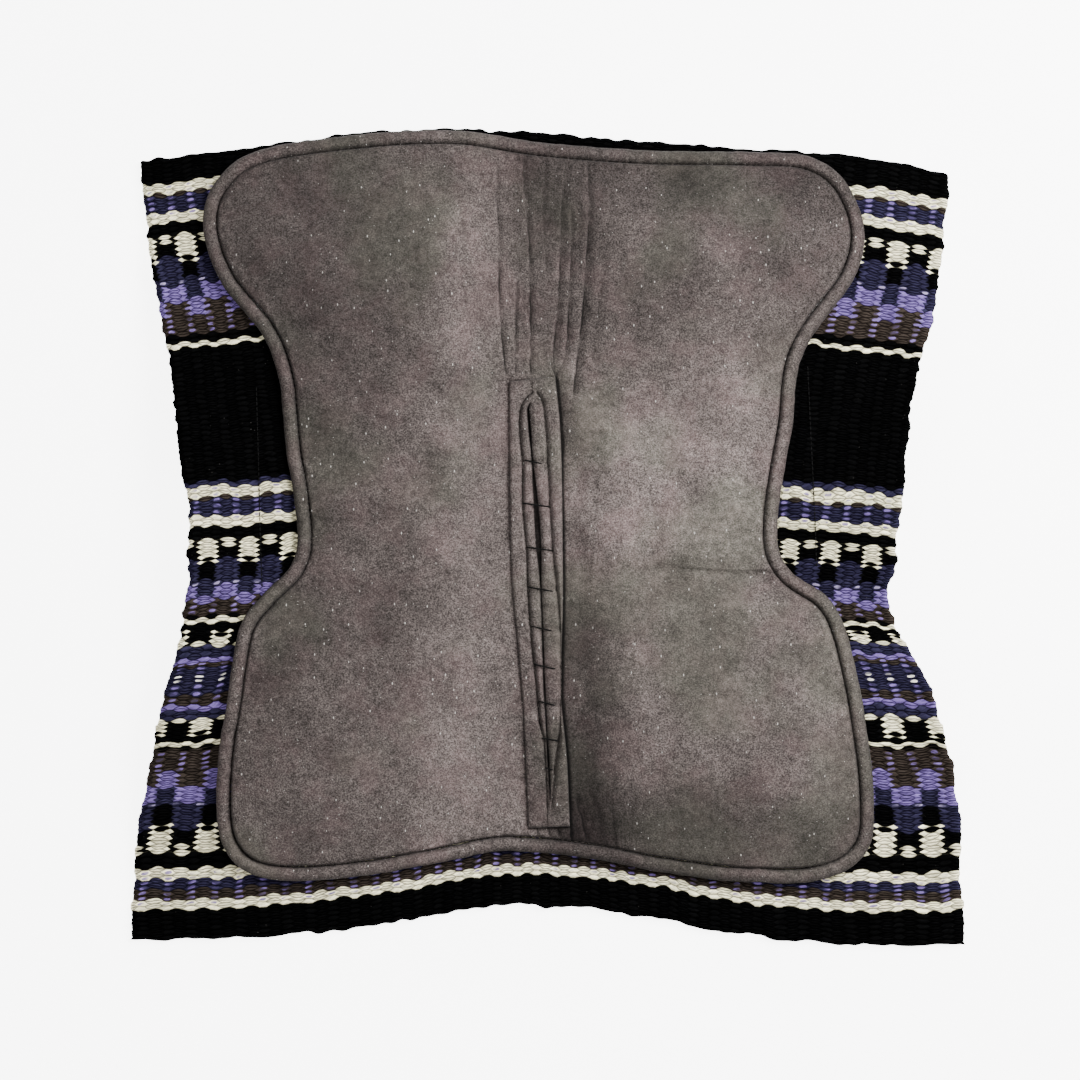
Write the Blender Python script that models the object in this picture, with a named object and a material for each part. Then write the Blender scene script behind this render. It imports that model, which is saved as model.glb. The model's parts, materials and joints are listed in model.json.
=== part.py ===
"""Western saddle pad, lying open with its felt side up, in metres.

The spine runs along Y and the front, which goes over the withers, is at +Y. A woven blanket
lies at the bottom. A felt lining is sewn on it over a padding core in each half, with a felt
roll around its edge, and a slit felt band runs along the spine, where the pad folds.
Each sheet is cut out flat, cut along one grid that all layers share, and then laid in relief.
"""

import functools
import math

import bmesh
import bpy
from mathutils import Vector
from mathutils.geometry import interpolate_bezier

OBJECT_NAME = "western_saddle_pad"
SIDES = {"left": -1, "right": 1}

# Sizes in plan, from the spine line and from the middle of the pad's length
BLANKET_HALF_WIDTH = 0.42
BLANKET_HALF_LENGTH = 0.41
FELT_HALF_WIDTH = 0.33
FELT_HALF_LENGTH = 0.384
FELT_MIDDLE_Y = 0.036
EDGE_ROLL_WIDTH = 0.014
BAND_HALF_WIDTH = 0.0245
BAND_FRONT_Y = 0.166
BAND_REAR_Y = -0.284
BAND_CORNER_RADIUS = 0.004
LEATHER_WIDTH = 0.11
LEATHER_HALF_LENGTH = 0.1375
LEATHER_MIDDLE_X = 0.223
LEATHER_MIDDLE_Y = 0.08
LEATHER_CORNER_RADIUS = 0.03

# Thicknesses and heights
BLANKET_THICKNESS = 0.007
CORE_THICKNESS = 0.008
CORE_RIM_THICKNESS = 0.0015
FELT_THICKNESS = 0.006
FELT_RIM_THICKNESS = 0.0035
EDGE_ROLL_HEIGHT = 0.009
BAND_THICKNESS = 0.004
LEATHER_THICKNESS = 0.003
THREAD_RADIUS = 0.0006

# Clearances between pieces that lie on or beside each other
LAYER_GAP = 0.0008
SEAM_GAP = 0.0003
SPINE_GAP = 0.0003
FOLD_CLEARANCE = 0.001

# Seams, channel and slit
FELT_RIM_RUN = 0.005
SWELL_RUN = 0.07
CORE_SEAM_CLEARANCE = 0.006
CHANNEL_HALF_WIDTH = 0.016
BAND_GROOVE_X = 0.0125
BAND_GROOVE_HALF_WIDTH = 0.0035
BAND_GROOVE_DEPTH = 0.0012
SLIT_WIDTH = 0.005
SLIT_WIDEST_Y = 0.01
SLIT_REACH = 0.2
SLIT_STITCH_HALF_WIDTH = 0.0145
SLIT_STITCH_FRONT_Y = 0.152
SLIT_STITCH_REAR_Y = -0.262
TACK_COUNT = 9
TACK_FRONT_Y = 0.083
TACK_REAR_Y = -0.225
TACK_REACH = 0.0105
TACK_HALF_SPREAD = 0.0009
TACK_SPINE_CLEARANCE = 0.0004
LEATHER_STITCH_INSET = 0.004
LEATHER_STITCH_FRONT_Y = 0.165
LEATHER_STITCH_REAR_Y = -0.035

# Relief of the pad as it lies: it rests along the spine and at its corners
SPINE_REST_HALF_WIDTH = 0.055
WAIST_HALF_WIDTH = 0.355
WAIST_RISE = 0.045
WAIST_POWER = 1.6
WAIST_Y = 0.02
WAIST_REACH = 0.36
CROWN_X = 0.215
CROWN_REACH_X = 0.155
FRONT_CROWN_RISE = 0.016
FRONT_CROWN_Y = 0.235
FRONT_CROWN_REACH_Y = 0.17
REAR_CROWN_RISE = 0.02
REAR_CROWN_Y = -0.2
REAR_CROWN_REACH_Y = 0.17
CREASE_START_X = 0.08
CREASE_END_X = 0.36
CREASE_INNER_Y = -0.027
CREASE_OUTER_Y = -0.09
CREASE_REACH = 0.07
CREASE_DEPTHS = {"left": 0.005, "right": 0.01}
PLEAT_PITCH = 0.03
PLEAT_HALF_WIDTH = 0.005
PLEAT_DEPTH = 0.002
PLEAT_FADE = 0.03

# How finely the sheets are cut
GRID_STEP = 0.035
SHORTEST_EDGE = 0.001
WELD_DISTANCE = 0.00001
OUTLINE_STEPS = 3
BLANKET_EDGE_STEPS = 2
CORNER_STEPS = 5
ROLL_ARC_STEPS = 7
ROLL_SQUARENESS_SHARE = 0.6
THREAD_BEVEL_RESOLUTION = 1
STITCH_STEPS = 4
SHARP_ANGLE = math.radians(50)

# Blanket edges as shares of its half width and half length, clockwise from the front left corner
FRONT_EDGE_SHARES = (
    (-0.915, 0.975), (-0.63, 1.0), (-0.34, 1.026), (-0.05, 1.016),
    (0.23, 0.985), (0.52, 0.95), (0.8, 0.918), (1.013, 0.87),
)
RIGHT_EDGE_SHARES = (
    (1.013, 0.87), (0.989, 0.66), (0.959, 0.51), (0.916, 0.37), (0.891, 0.22), (0.874, 0.075),
    (0.85, -0.07), (0.837, -0.2), (0.917, -0.365), (0.953, -0.51), (0.978, -0.66), (0.98, -1.012),
)
REAR_EDGE_SHARES = (
    (0.98, -1.012), (0.73, -1.005), (0.445, -0.969), (0.16, -0.904),
    (-0.12, -0.876), (-0.41, -0.912), (-0.7, -0.93), (-1.002, -0.925),
)
LEFT_EDGE_SHARES = (
    (-1.002, -0.925), (-0.998, -0.8), (-0.966, -0.585), (-0.915, -0.367), (-0.854, -0.15),
    (-0.832, 0.07), (-0.85, 0.29), (-0.866, 0.51), (-0.898, 0.73), (-0.915, 0.975),
)

# Felt outline as shares of its half width and half length, clockwise from the front middle
FELT_OUTLINE_SHARES = (
    (0.05, 0.955), (0.364, 0.924), (0.676, 0.909), (0.86, 0.892), (0.973, 0.822), (1.024, 0.69),
    (0.985, 0.565), (0.88, 0.452), (0.812, 0.35), (0.785, 0.2), (0.74, 0.01), (0.728, -0.11),
    (0.765, -0.188), (0.87, -0.258), (0.921, -0.345), (0.965, -0.54), (0.988, -0.77),
    (0.965, -0.915), (0.84, -0.99), (0.6, -0.993), (0.33, -0.956), (0.073, -0.908),
    (-0.155, -0.888), (-0.415, -0.922), (-0.7, -0.945), (-0.9, -0.925), (-0.995, -0.83),
    (-0.998, -0.65), (-0.96, -0.46), (-0.915, -0.28), (-0.84, -0.195), (-0.748, -0.115),
    (-0.73, -0.01), (-0.755, 0.2), (-0.767, 0.365), (-0.815, 0.485), (-0.93, 0.62),
    (-0.979, 0.765), (-0.935, 0.885), (-0.8, 0.962), (-0.488, 0.993), (-0.2, 0.994),
)

# The stitch beside the slit, rear to front, as shares of its half width and of its length
SLIT_STITCH_SHARES = (
    (0.13, 0.0), (0.45, 0.145), (0.86, 0.3), (1.0, 0.5), (0.95, 0.75), (0.8, 0.93), (0.13, 1.0),
)

# Pleats in front of the band as shares of their pitch, at the band and at the front seam
PLEAT_SHARES = ((-0.9, -0.9), (0.0, 0.0), (0.45, 0.7), (0.8, 1.35), (1.4, 2.1), (2.0, 2.9))

# What follows from the sizes above
THREAD_INSET = EDGE_ROLL_WIDTH + SEAM_GAP + THREAD_RADIUS
LINING_INSET = THREAD_INSET + THREAD_RADIUS + SEAM_GAP
CORE_INSET = LINING_INSET + CORE_SEAM_CLEARANCE
THREAD_SEAT = SEAM_GAP + THREAD_RADIUS
SPINE_STACK = BLANKET_THICKNESS + CORE_RIM_THICKNESS + FELT_THICKNESS + BAND_THICKNESS
HINGE_HEIGHT = SPINE_STACK + 3 * LAYER_GAP + 2 * THREAD_SEAT + FOLD_CLEARANCE


def scaled(shares, half_width, half_length, middle_y=0.0):
    """The places in plan that these pairs of shares stand for."""
    return [Vector((across * half_width, middle_y + along * half_length)) for across, along in shares]


def smooth_path(places, steps, closed):
    """Points on the smooth curve through these places, without the last place of an open one."""
    count = len(places)
    points = []
    for index in range(count if closed else count - 1):
        around = []
        for shift in (-1, 0, 1, 2):
            near = (index + shift) % count if closed else min(max(index + shift, 0), count - 1)
            around.append(places[near])
        before, start, end, after = around
        leave = start + (end - before) / 6
        arrive = end - (after - start) / 6
        points += interpolate_bezier(start, leave, arrive, end, steps + 1)[:-1]
    return [Vector(point[:2]) for point in points]


def inset(loop, distance):
    """The clockwise loop moved inwards by this distance."""
    moved = []
    for index, place in enumerate(loop):
        along = (loop[(index + 1) % len(loop)] - loop[index - 1]).normalized()
        moved.append(place + distance * Vector((along.y, -along.x)))
    return moved


def blanket_loop():
    """The blanket's outline, with its four corners kept sharp."""
    loop = []
    for shares in (FRONT_EDGE_SHARES, RIGHT_EDGE_SHARES, REAR_EDGE_SHARES, LEFT_EDGE_SHARES):
        edge = scaled(shares, BLANKET_HALF_WIDTH, BLANKET_HALF_LENGTH)
        loop += smooth_path(edge, BLANKET_EDGE_STEPS, closed=False)
    return loop


def rounded_loop(low, high, radius):
    """A clockwise rectangle with round corners between two opposite corners."""
    corners = ((low.x, high.y, 180), (high.x, high.y, 90), (high.x, low.y, 0), (low.x, low.y, -90))
    loop = []
    for x, y, start in corners:
        middle = (low + high) / 2
        centre = Vector((x + math.copysign(radius, middle.x - x), y + math.copysign(radius, middle.y - y)))
        for step in range(CORNER_STEPS):
            angle = math.radians(start - 90 * step / (CORNER_STEPS - 1))
            loop.append(centre + radius * Vector((math.cos(angle), math.sin(angle))))
    return loop


FELT_LOOP = smooth_path(
    scaled(FELT_OUTLINE_SHARES, FELT_HALF_WIDTH, FELT_HALF_LENGTH, FELT_MIDDLE_Y),
    OUTLINE_STEPS,
    closed=True,
)
SEAM_LOOP = inset(FELT_LOOP, LINING_INSET)


def bump(distance, reach):
    """One at no distance, falling smoothly to zero at the reach."""
    share = min(abs(distance) / reach, 1.0)
    return (1 - share**2) ** 2


def eased(share):
    """A smooth step from zero to one."""
    share = min(max(share, 0.0), 1.0)
    return share * share * (3 - 2 * share)


def side_of(x):
    return "right" if x > 0 else "left"


def crease(x, y):
    """How deep the crease behind the waist is here."""
    out = (abs(x) - CREASE_START_X) / (CREASE_END_X - CREASE_START_X)
    out = min(max(out, 0.0), 1.0)
    middle = CREASE_INNER_Y + (CREASE_OUTER_Y - CREASE_INNER_Y) * eased(2 * out - 1)
    return CREASE_DEPTHS[side_of(x)] * out * bump(y - middle, CREASE_REACH)


@functools.cache
def relief(x, y):
    """Height of the blanket's lower face over the floor where the shared grid's lines cross."""
    out = max(abs(x) - SPINE_REST_HALF_WIDTH, 0.0) / (WAIST_HALF_WIDTH - SPINE_REST_HALF_WIDTH)
    height = WAIST_RISE * out**WAIST_POWER * bump(y - WAIST_Y, WAIST_REACH)
    across = bump(abs(x) - CROWN_X, CROWN_REACH_X)
    height += FRONT_CROWN_RISE * across * bump(y - FRONT_CROWN_Y, FRONT_CROWN_REACH_Y)
    height += REAR_CROWN_RISE * across * bump(y - REAR_CROWN_Y, REAR_CROWN_REACH_Y)
    return height - crease(x, y)


def underside(x, y):
    """Height of the blanket's lower face anywhere, on the flat facets between those crossings."""
    column = math.floor(x / GRID_STEP - 0.5)
    row = math.floor(y / GRID_STEP)
    right = x / GRID_STEP - 0.5 - column
    ahead = y / GRID_STEP - row

    def crossing(columns, rows):
        return relief((column + columns + 0.5) * GRID_STEP, (row + rows) * GRID_STEP)

    if right + ahead < 1:
        near = crossing(0, 0)
        return near + right * (crossing(1, 0) - near) + ahead * (crossing(0, 1) - near)
    far = crossing(1, 1)
    return far + (1 - right) * (crossing(0, 1) - far) + (1 - ahead) * (crossing(1, 0) - far)


def blanket_top(x, y):
    return underside(x, y) + BLANKET_THICKNESS


def seam_distance(x, y):
    """How far this place is from the lining's seam, in plan."""
    place = Vector((x, y))
    nearest = math.inf
    for index, start in enumerate(SEAM_LOOP):
        run = SEAM_LOOP[(index + 1) % len(SEAM_LOOP)] - start
        share = min(max((place - start).dot(run) / run.length_squared, 0.0), 1.0)
        nearest = min(nearest, (place - start - share * run).length)
    return nearest


def core_bottom(x, y):
    return blanket_top(x, y) + LAYER_GAP


def core_top(x, y):
    """The core swells from its thin rims at the seam and at the spine channel."""
    from_rim = min(seam_distance(x, y), abs(x) - CHANNEL_HALF_WIDTH)
    swell = (CORE_THICKNESS - CORE_RIM_THICKNESS) * eased(from_rim / SWELL_RUN)
    return core_bottom(x, y) + CORE_RIM_THICKNESS + swell


def lining_bottom(x, y):
    return core_top(x, y) + LAYER_GAP


def pleat(x, y):
    """How deep the pleats in front of the band are here."""
    front = FELT_MIDDLE_Y + FELT_HALF_LENGTH
    share = (y - BAND_FRONT_Y) / (front - BAND_FRONT_Y)
    fade = eased((y - BAND_FRONT_Y) / PLEAT_FADE)
    depth = 0.0
    for at_band, at_front in PLEAT_SHARES:
        line = PLEAT_PITCH * (at_band + (at_front - at_band) * share)
        depth += PLEAT_DEPTH * fade * bump(x - line, PLEAT_HALF_WIDTH)
    return depth


def lining_top(x, y):
    """The felt is pressed thin at its seam."""
    full = FELT_THICKNESS - FELT_RIM_THICKNESS
    thickness = FELT_RIM_THICKNESS + full * eased(seam_distance(x, y) / FELT_RIM_RUN)
    return lining_bottom(x, y) + thickness - pleat(x, y)


def band_bottom(x, y):
    return BLANKET_THICKNESS + CORE_RIM_THICKNESS + FELT_THICKNESS + 3 * LAYER_GAP


def band_top(x, y):
    """The band's upper face, with a groove along each side where it is sewn down."""
    groove = BAND_GROOVE_DEPTH * bump(abs(x) - BAND_GROOVE_X, BAND_GROOVE_HALF_WIDTH)
    return band_bottom(x, y) + BAND_THICKNESS - groove


def leather_top(x, y):
    return underside(x, y) - LAYER_GAP


def leather_bottom(x, y):
    return leather_top(x, y) - LEATHER_THICKNESS


def mesh_from_curve(curve):
    """The curve's closed solid as an editable mesh, with the curve removed."""
    holder = bpy.data.objects.new(curve.name, curve)
    bpy.context.scene.collection.objects.link(holder)
    bpy.context.view_layer.update()
    evaluated = holder.evaluated_get(bpy.context.evaluated_depsgraph_get())
    mesh = bpy.data.meshes.new_from_object(evaluated)
    solid = bmesh.new()
    solid.from_mesh(mesh)
    bmesh.ops.remove_doubles(solid, verts=solid.verts, dist=WELD_DISTANCE)
    bpy.data.objects.remove(holder)
    bpy.data.curves.remove(curve)
    bpy.data.meshes.remove(mesh)
    return solid


def poly_spline(curve, places):
    """Adds a polyline through these places to the curve."""
    spline = curve.splines.new("POLY")
    spline.points.add(len(places) - 1)
    for point, place in zip(spline.points, places):
        point.co = (*place, *[0.0] * (3 - len(place)), 1.0)
    return spline


def flat_slab(name, loop, thickness):
    """A flat slab of this outline whose upper and lower face are one face each."""
    curve = bpy.data.curves.new(name, "CURVE")
    curve.dimensions = "2D"
    curve.fill_mode = "BOTH"
    curve.extrude = thickness / 2
    poly_spline(curve, loop).use_cyclic_u = True
    slab = mesh_from_curve(curve)
    inner = [edge for edge in slab.edges if all(abs(face.normal.z) > 0.5 for face in edge.link_faces)]
    bmesh.ops.dissolve_edges(slab, edges=inner)
    return slab


def upper_faces(slab):
    return [face for face in slab.faces if face.normal.z > 0.5]


def cut_along(slab, place, normal, faces=None):
    """Cuts the slab, or only these faces of it, along an upright plane."""
    faces = slab.faces[:] if faces is None else faces
    edges = {edge for face in faces for edge in face.edges}
    verts = {vert for face in faces for vert in face.verts}
    bmesh.ops.bisect_plane(
        slab, geom=[*verts, *edges, *faces], plane_co=Vector((*place, 0.0)), plane_no=Vector((*normal, 0.0))
    )


def cut_into_grid(slab):
    """Cuts the slab along three families of lines that cross at the same places in every layer."""
    reach = BLANKET_HALF_WIDTH + BLANKET_HALF_LENGTH
    count = math.ceil(reach / GRID_STEP)
    for normal, shift in ((Vector((1, 0)), 0.5), (Vector((0, 1)), 0.0), (Vector((1, 1)), 0.5)):
        for line in range(-count, count):
            place = normal * (line + shift) * GRID_STEP / normal.length_squared
            cut_along(slab, place, normal)


def cut_pleats(slab):
    """Cuts the lining's upper face along each pleat and along both of its flanks."""
    front = FELT_MIDDLE_Y + FELT_HALF_LENGTH
    run = front - BAND_FRONT_Y
    widest = PLEAT_PITCH * max(at_front for _, at_front in PLEAT_SHARES) + PLEAT_HALF_WIDTH
    for at_band, at_front in PLEAT_SHARES:
        along = Vector((PLEAT_PITCH * (at_front - at_band), run))
        for shift in (-PLEAT_HALF_WIDTH, 0.0, PLEAT_HALF_WIDTH):
            zone = []
            for face in upper_faces(slab):
                middle = face.calc_center_median()
                if middle.y > BAND_FRONT_Y and abs(middle.x) < widest + GRID_STEP:
                    zone.append(face)
            place = Vector((PLEAT_PITCH * at_band + shift, BAND_FRONT_Y))
            cut_along(slab, place, Vector((along.y, -along.x)), zone)


def half_of(slab, side, from_spine):
    """The part of the slab on this side, this far from the spine, with its cut closed."""
    half = slab.copy()
    cut = bmesh.ops.bisect_plane(
        half,
        geom=half.verts[:] + half.edges[:] + half.faces[:],
        plane_co=Vector((side * from_spine, 0.0, 0.0)),
        plane_no=Vector((side, 0.0, 0.0)),
        clear_inner=True,
    )
    rim = [item for item in cut["geom_cut"] if isinstance(item, bmesh.types.BMEdge)]
    bmesh.ops.edgeloop_fill(half, edges=rim)
    bmesh.ops.remove_doubles(half, verts=half.verts, dist=SHORTEST_EDGE)
    return half


def open_slit(half, side):
    """Draws the edge at the spine back, so that the slit gapes."""
    for vert in half.verts:
        if abs(vert.co.x) < SPINE_GAP:
            vert.co.x += side * SLIT_WIDTH / 2 * bump(vert.co.y - SLIT_WIDEST_Y, SLIT_REACH)


def lay(half, lower, upper):
    """Sets the slab's lower and upper vertices at these heights over the floor."""
    for vert in half.verts:
        height = lower if vert.co.z < 0 else upper
        vert.co.z = height(vert.co.x, vert.co.y)


def half_path(loop, side, from_spine):
    """The stretch of the clockwise loop on this side, from its front end to its rear end."""
    loop = loop if side > 0 else loop[::-1]
    ahead = [place.x * side >= from_spine for place in loop]
    starts = [index for index in range(len(loop)) if ahead[index] and not ahead[index - 1]]
    start = max(starts, key=lambda index: loop[index].y)
    turned = loop[start:] + loop[:start]
    before = turned[-1]
    path = []
    for place in turned:
        if (before.x * side < from_spine) != (place.x * side < from_spine):
            share = (side * from_spine - before.x) / (place.x - before.x)
            path.append(before + share * (place - before))
        if place.x * side < from_spine:
            break
        path.append(place)
        before = place
    return path


def roll_profile():
    """The edge roll's section: flat below and round above."""
    places = []
    for step in range(ROLL_ARC_STEPS + 1):
        angle = math.pi * step / ROLL_ARC_STEPS
        rise = max(math.sin(angle), 0.0) ** ROLL_SQUARENESS_SHARE
        places.append((EDGE_ROLL_WIDTH / 2 * math.cos(angle), EDGE_ROLL_HEIGHT * rise))
    curve = bpy.data.curves.new("edge_roll_section", "CURVE")
    curve.dimensions = "2D"
    poly_spline(curve, places).use_cyclic_u = True
    section = bpy.data.objects.new("edge_roll_section", curve)
    section.hide_render = True
    section.display_type = "WIRE"
    GUIDES.objects.link(section)
    return section


def edge_roll(name, side, section):
    """The roll swept along its half of the felt's edge and laid on the blanket."""
    curve = bpy.data.curves.new(name, "CURVE")
    curve.dimensions = "2D"
    curve.bevel_mode = "OBJECT"
    curve.bevel_object = section
    curve.use_fill_caps = True
    poly_spline(curve, half_path(inset(FELT_LOOP, EDGE_ROLL_WIDTH / 2), side, -EDGE_ROLL_WIDTH))
    whole = mesh_from_curve(curve)
    roll = half_of(whole, side, SPINE_GAP / 2)
    whole.free()
    for vert in roll.verts:
        vert.co.z += core_bottom(vert.co.x, vert.co.y)
    return roll


def add_material(name, colour, roughness):
    material = bpy.data.materials.new(name)
    material.use_nodes = True
    surface = material.node_tree.nodes["Principled BSDF"]
    surface.inputs["Base Color"].default_value = (*colour, 1.0)
    surface.inputs["Roughness"].default_value = roughness
    surface.inputs["Metallic"].default_value = 0.0
    material.diffuse_color = (*colour, 1.0)
    return material


def add_sheet(name, half, material, wing):
    """Makes the laid half a node that hangs on its wing's empty."""
    bmesh.ops.triangulate(half, faces=half.faces)
    bmesh.ops.recalc_face_normals(half, faces=half.faces)
    bmesh.ops.translate(half, verts=half.verts, vec=Vector((0.0, 0.0, -HINGE_HEIGHT)))
    mesh = bpy.data.meshes.new(name)
    half.to_mesh(mesh)
    half.free()
    mesh.shade_smooth()
    mesh.set_sharp_from_angle(angle=SHARP_ANGLE)
    mesh.materials.append(material)
    node = bpy.data.objects.new(name, mesh)
    node.parent = wing
    PARTS.objects.link(node)
    return node


def add_thread(name, places, height, material, wing):
    """Makes a stitching thread that runs over these places at this height."""
    curve = bpy.data.curves.new(name, "CURVE")
    curve.dimensions = "3D"
    curve.bevel_depth = THREAD_RADIUS
    curve.bevel_resolution = THREAD_BEVEL_RESOLUTION
    curve.use_fill_caps = True
    poly_spline(curve, [(place[0], place[1], height(*place) - HINGE_HEIGHT) for place in places])
    curve.materials.append(material)
    node = bpy.data.objects.new(name, curve)
    node.parent = wing
    PARTS.objects.link(node)
    return node


def seam_thread_height(x, y):
    """The perimeter thread lies level with the pressed rim of the lining."""
    return core_bottom(x, y) + CORE_RIM_THICKNESS + LAYER_GAP + FELT_RIM_THICKNESS - THREAD_RADIUS


def band_thread_height(x, y):
    return band_bottom(x, y) + BAND_THICKNESS + THREAD_SEAT


def leather_thread_height(x, y):
    return blanket_top(x, y) + THREAD_SEAT


def slit_stitch_path(side):
    """The pointed line of stitches on one side of the slit, rear to front."""
    length = SLIT_STITCH_FRONT_Y - SLIT_STITCH_REAR_Y
    places = scaled(SLIT_STITCH_SHARES, side * SLIT_STITCH_HALF_WIDTH, length, SLIT_STITCH_REAR_Y)
    return smooth_path(places, STITCH_STEPS, closed=False) + [places[-1]]


def slit_stitch_x(y):
    """How far from the spine the stitch beside the slit is at this place along it."""
    path = slit_stitch_path(1)
    for start, end in zip(path, path[1:]):
        if start.y <= y <= end.y:
            return start.x + (end.x - start.x) * (y - start.y) / (end.y - start.y)
    return path[-1].x


def tack_path(side):
    """One thread that tacks the slit shut, out to the spine and back at each tack."""
    inner = SPINE_GAP / 2 + TACK_SPINE_CLEARANCE
    path = []
    for index in range(TACK_COUNT):
        middle = TACK_REAR_Y + (TACK_FRONT_Y - TACK_REAR_Y) * index / (TACK_COUNT - 1)
        near = slit_stitch_x(middle) - 2 * THREAD_RADIUS - TACK_HALF_SPREAD
        outer = min(TACK_REACH, near)
        rear = middle - TACK_HALF_SPREAD
        front = middle + TACK_HALF_SPREAD
        path += [(side * outer, rear), (side * inner, rear), (side * inner, front), (side * outer, front)]
    return path


def leather_stitch_path(side):
    """The stitches that show on the blanket, over the outer edge of the wear leather."""
    x = side * (LEATHER_MIDDLE_X + LEATHER_WIDTH / 2 - LEATHER_STITCH_INSET)
    length = LEATHER_STITCH_FRONT_Y - LEATHER_STITCH_REAR_Y
    steps = math.ceil(length / (GRID_STEP / 2))
    return [(x, LEATHER_STITCH_REAR_Y + length * step / steps) for step in range(steps + 1)]


def band_loop():
    low = Vector((-BAND_HALF_WIDTH, BAND_REAR_Y))
    high = Vector((BAND_HALF_WIDTH, BAND_FRONT_Y))
    return rounded_loop(low, high, BAND_CORNER_RADIUS)


def leather_loop(side):
    middle = Vector((side * LEATHER_MIDDLE_X, LEATHER_MIDDLE_Y))
    reach = Vector((LEATHER_WIDTH / 2, LEATHER_HALF_LENGTH))
    return rounded_loop(middle - reach, middle + reach, LEATHER_CORNER_RADIUS)


def blanket_slab():
    slab = flat_slab("blanket", blanket_loop(), BLANKET_THICKNESS)
    cut_into_grid(slab)
    return slab


def core_slab():
    slab = flat_slab("core", inset(FELT_LOOP, CORE_INSET), CORE_THICKNESS)
    cut_into_grid(slab)
    return slab


def lining_slab():
    """The lining, with a second outline inboard of its pressed rim and with its pleats."""
    slab = flat_slab("lining", SEAM_LOOP, FELT_THICKNESS)
    bmesh.ops.inset_region(slab, faces=upper_faces(slab), thickness=FELT_RIM_RUN, use_boundary=True)
    cut_into_grid(slab)
    cut_pleats(slab)
    return slab


def band_slab():
    slab = flat_slab("band", band_loop(), BAND_THICKNESS)
    cut_into_grid(slab)
    for side in SIDES.values():
        for shift in (-BAND_GROOVE_HALF_WIDTH, 0.0, BAND_GROOVE_HALF_WIDTH):
            cut_along(slab, (side * (BAND_GROOVE_X + shift), 0.0), (1.0, 0.0), upper_faces(slab))
    return slab


def leather_slab(side):
    slab = flat_slab("leather", leather_loop(side), LEATHER_THICKNESS)
    cut_into_grid(slab)
    bmesh.ops.remove_doubles(slab, verts=slab.verts, dist=SHORTEST_EDGE)
    return slab


def add_wing(name, side, slabs, section, materials, wing):
    """All the pieces of one half of the pad."""
    spine = SPINE_GAP / 2
    sheets = (
        ("woven_blanket", spine, underside, blanket_top, "blanket"),
        ("padding_core", CHANNEL_HALF_WIDTH, core_bottom, core_top, "core"),
        ("felt_lining", spine, lining_bottom, lining_top, "felt"),
        ("spine_band", spine, band_bottom, band_top, "felt"),
    )
    for piece, from_spine, lower, upper, material in sheets:
        half = half_of(slabs[piece], side, from_spine)
        if piece in ("felt_lining", "spine_band"):
            open_slit(half, side)
        lay(half, lower, upper)
        add_sheet(f"{piece}_{name}", half, materials[material], wing)

    roll = edge_roll(f"felt_edge_roll_{name}", side, section)
    add_sheet(f"felt_edge_roll_{name}", roll, materials["felt"], wing)
    leather = leather_slab(side)
    lay(leather, leather_bottom, leather_top)
    add_sheet(f"wear_leather_{name}", leather, materials["leather"], wing)

    seam = half_path(inset(FELT_LOOP, THREAD_INSET), side, spine)
    threads = (
        ("edge_stitching", seam, seam_thread_height),
        ("slit_stitching", slit_stitch_path(side), band_thread_height),
        ("slit_tacks", tack_path(side), band_thread_height),
        ("leather_stitching", leather_stitch_path(side), leather_thread_height),
    )
    for piece, places, height in threads:
        add_thread(f"{piece}_{name}", places, height, materials["thread"], wing)


def add_spine_empty(name, middle):
    """An empty on the fold's axis that carries one half."""
    empty = bpy.data.objects.new(f"{name}_wing", None)
    empty.location = (-middle.x, -middle.y, HINGE_HEIGHT)
    PARTS.objects.link(empty)
    return empty


def plan_middle(loop):
    """The middle of the box around this outline."""
    xs = [place.x for place in loop]
    ys = [place.y for place in loop]
    return Vector(((min(xs) + max(xs)) / 2, (min(ys) + max(ys)) / 2))


def clear_scene():
    for item in list(bpy.data.objects):
        bpy.data.objects.remove(item)


def new_collection(name):
    collection = bpy.data.collections.new(name)
    bpy.context.scene.collection.children.link(collection)
    return collection


clear_scene()
PARTS = new_collection(OBJECT_NAME)
GUIDES = new_collection(f"{OBJECT_NAME}_guides")


def main():
    materials = {
        "blanket": add_material("woven_wool", (0.09, 0.08, 0.10), 0.9),
        "core": add_material("padding", (0.45, 0.44, 0.42), 0.95),
        "felt": add_material("felt", (0.16, 0.13, 0.125), 0.95),
        "leather": add_material("leather", (0.16, 0.07, 0.035), 0.5),
        "thread": add_material("thread", (0.035, 0.03, 0.032), 0.7),
    }
    slabs = {
        "woven_blanket": blanket_slab(),
        "padding_core": core_slab(),
        "felt_lining": lining_slab(),
        "spine_band": band_slab(),
    }
    section = roll_profile()
    middle = plan_middle(blanket_loop())
    for name, side in SIDES.items():
        add_wing(name, side, slabs, section, materials, add_spine_empty(name, middle))
    for slab in slabs.values():
        slab.free()


main()
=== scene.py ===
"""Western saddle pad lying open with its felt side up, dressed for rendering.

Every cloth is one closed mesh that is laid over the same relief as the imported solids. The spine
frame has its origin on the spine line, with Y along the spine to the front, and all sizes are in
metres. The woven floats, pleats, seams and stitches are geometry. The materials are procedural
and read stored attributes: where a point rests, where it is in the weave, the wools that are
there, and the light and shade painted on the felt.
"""

import json
import math

import bpy
import numpy as np
from mathutils import Matrix, Vector


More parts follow.
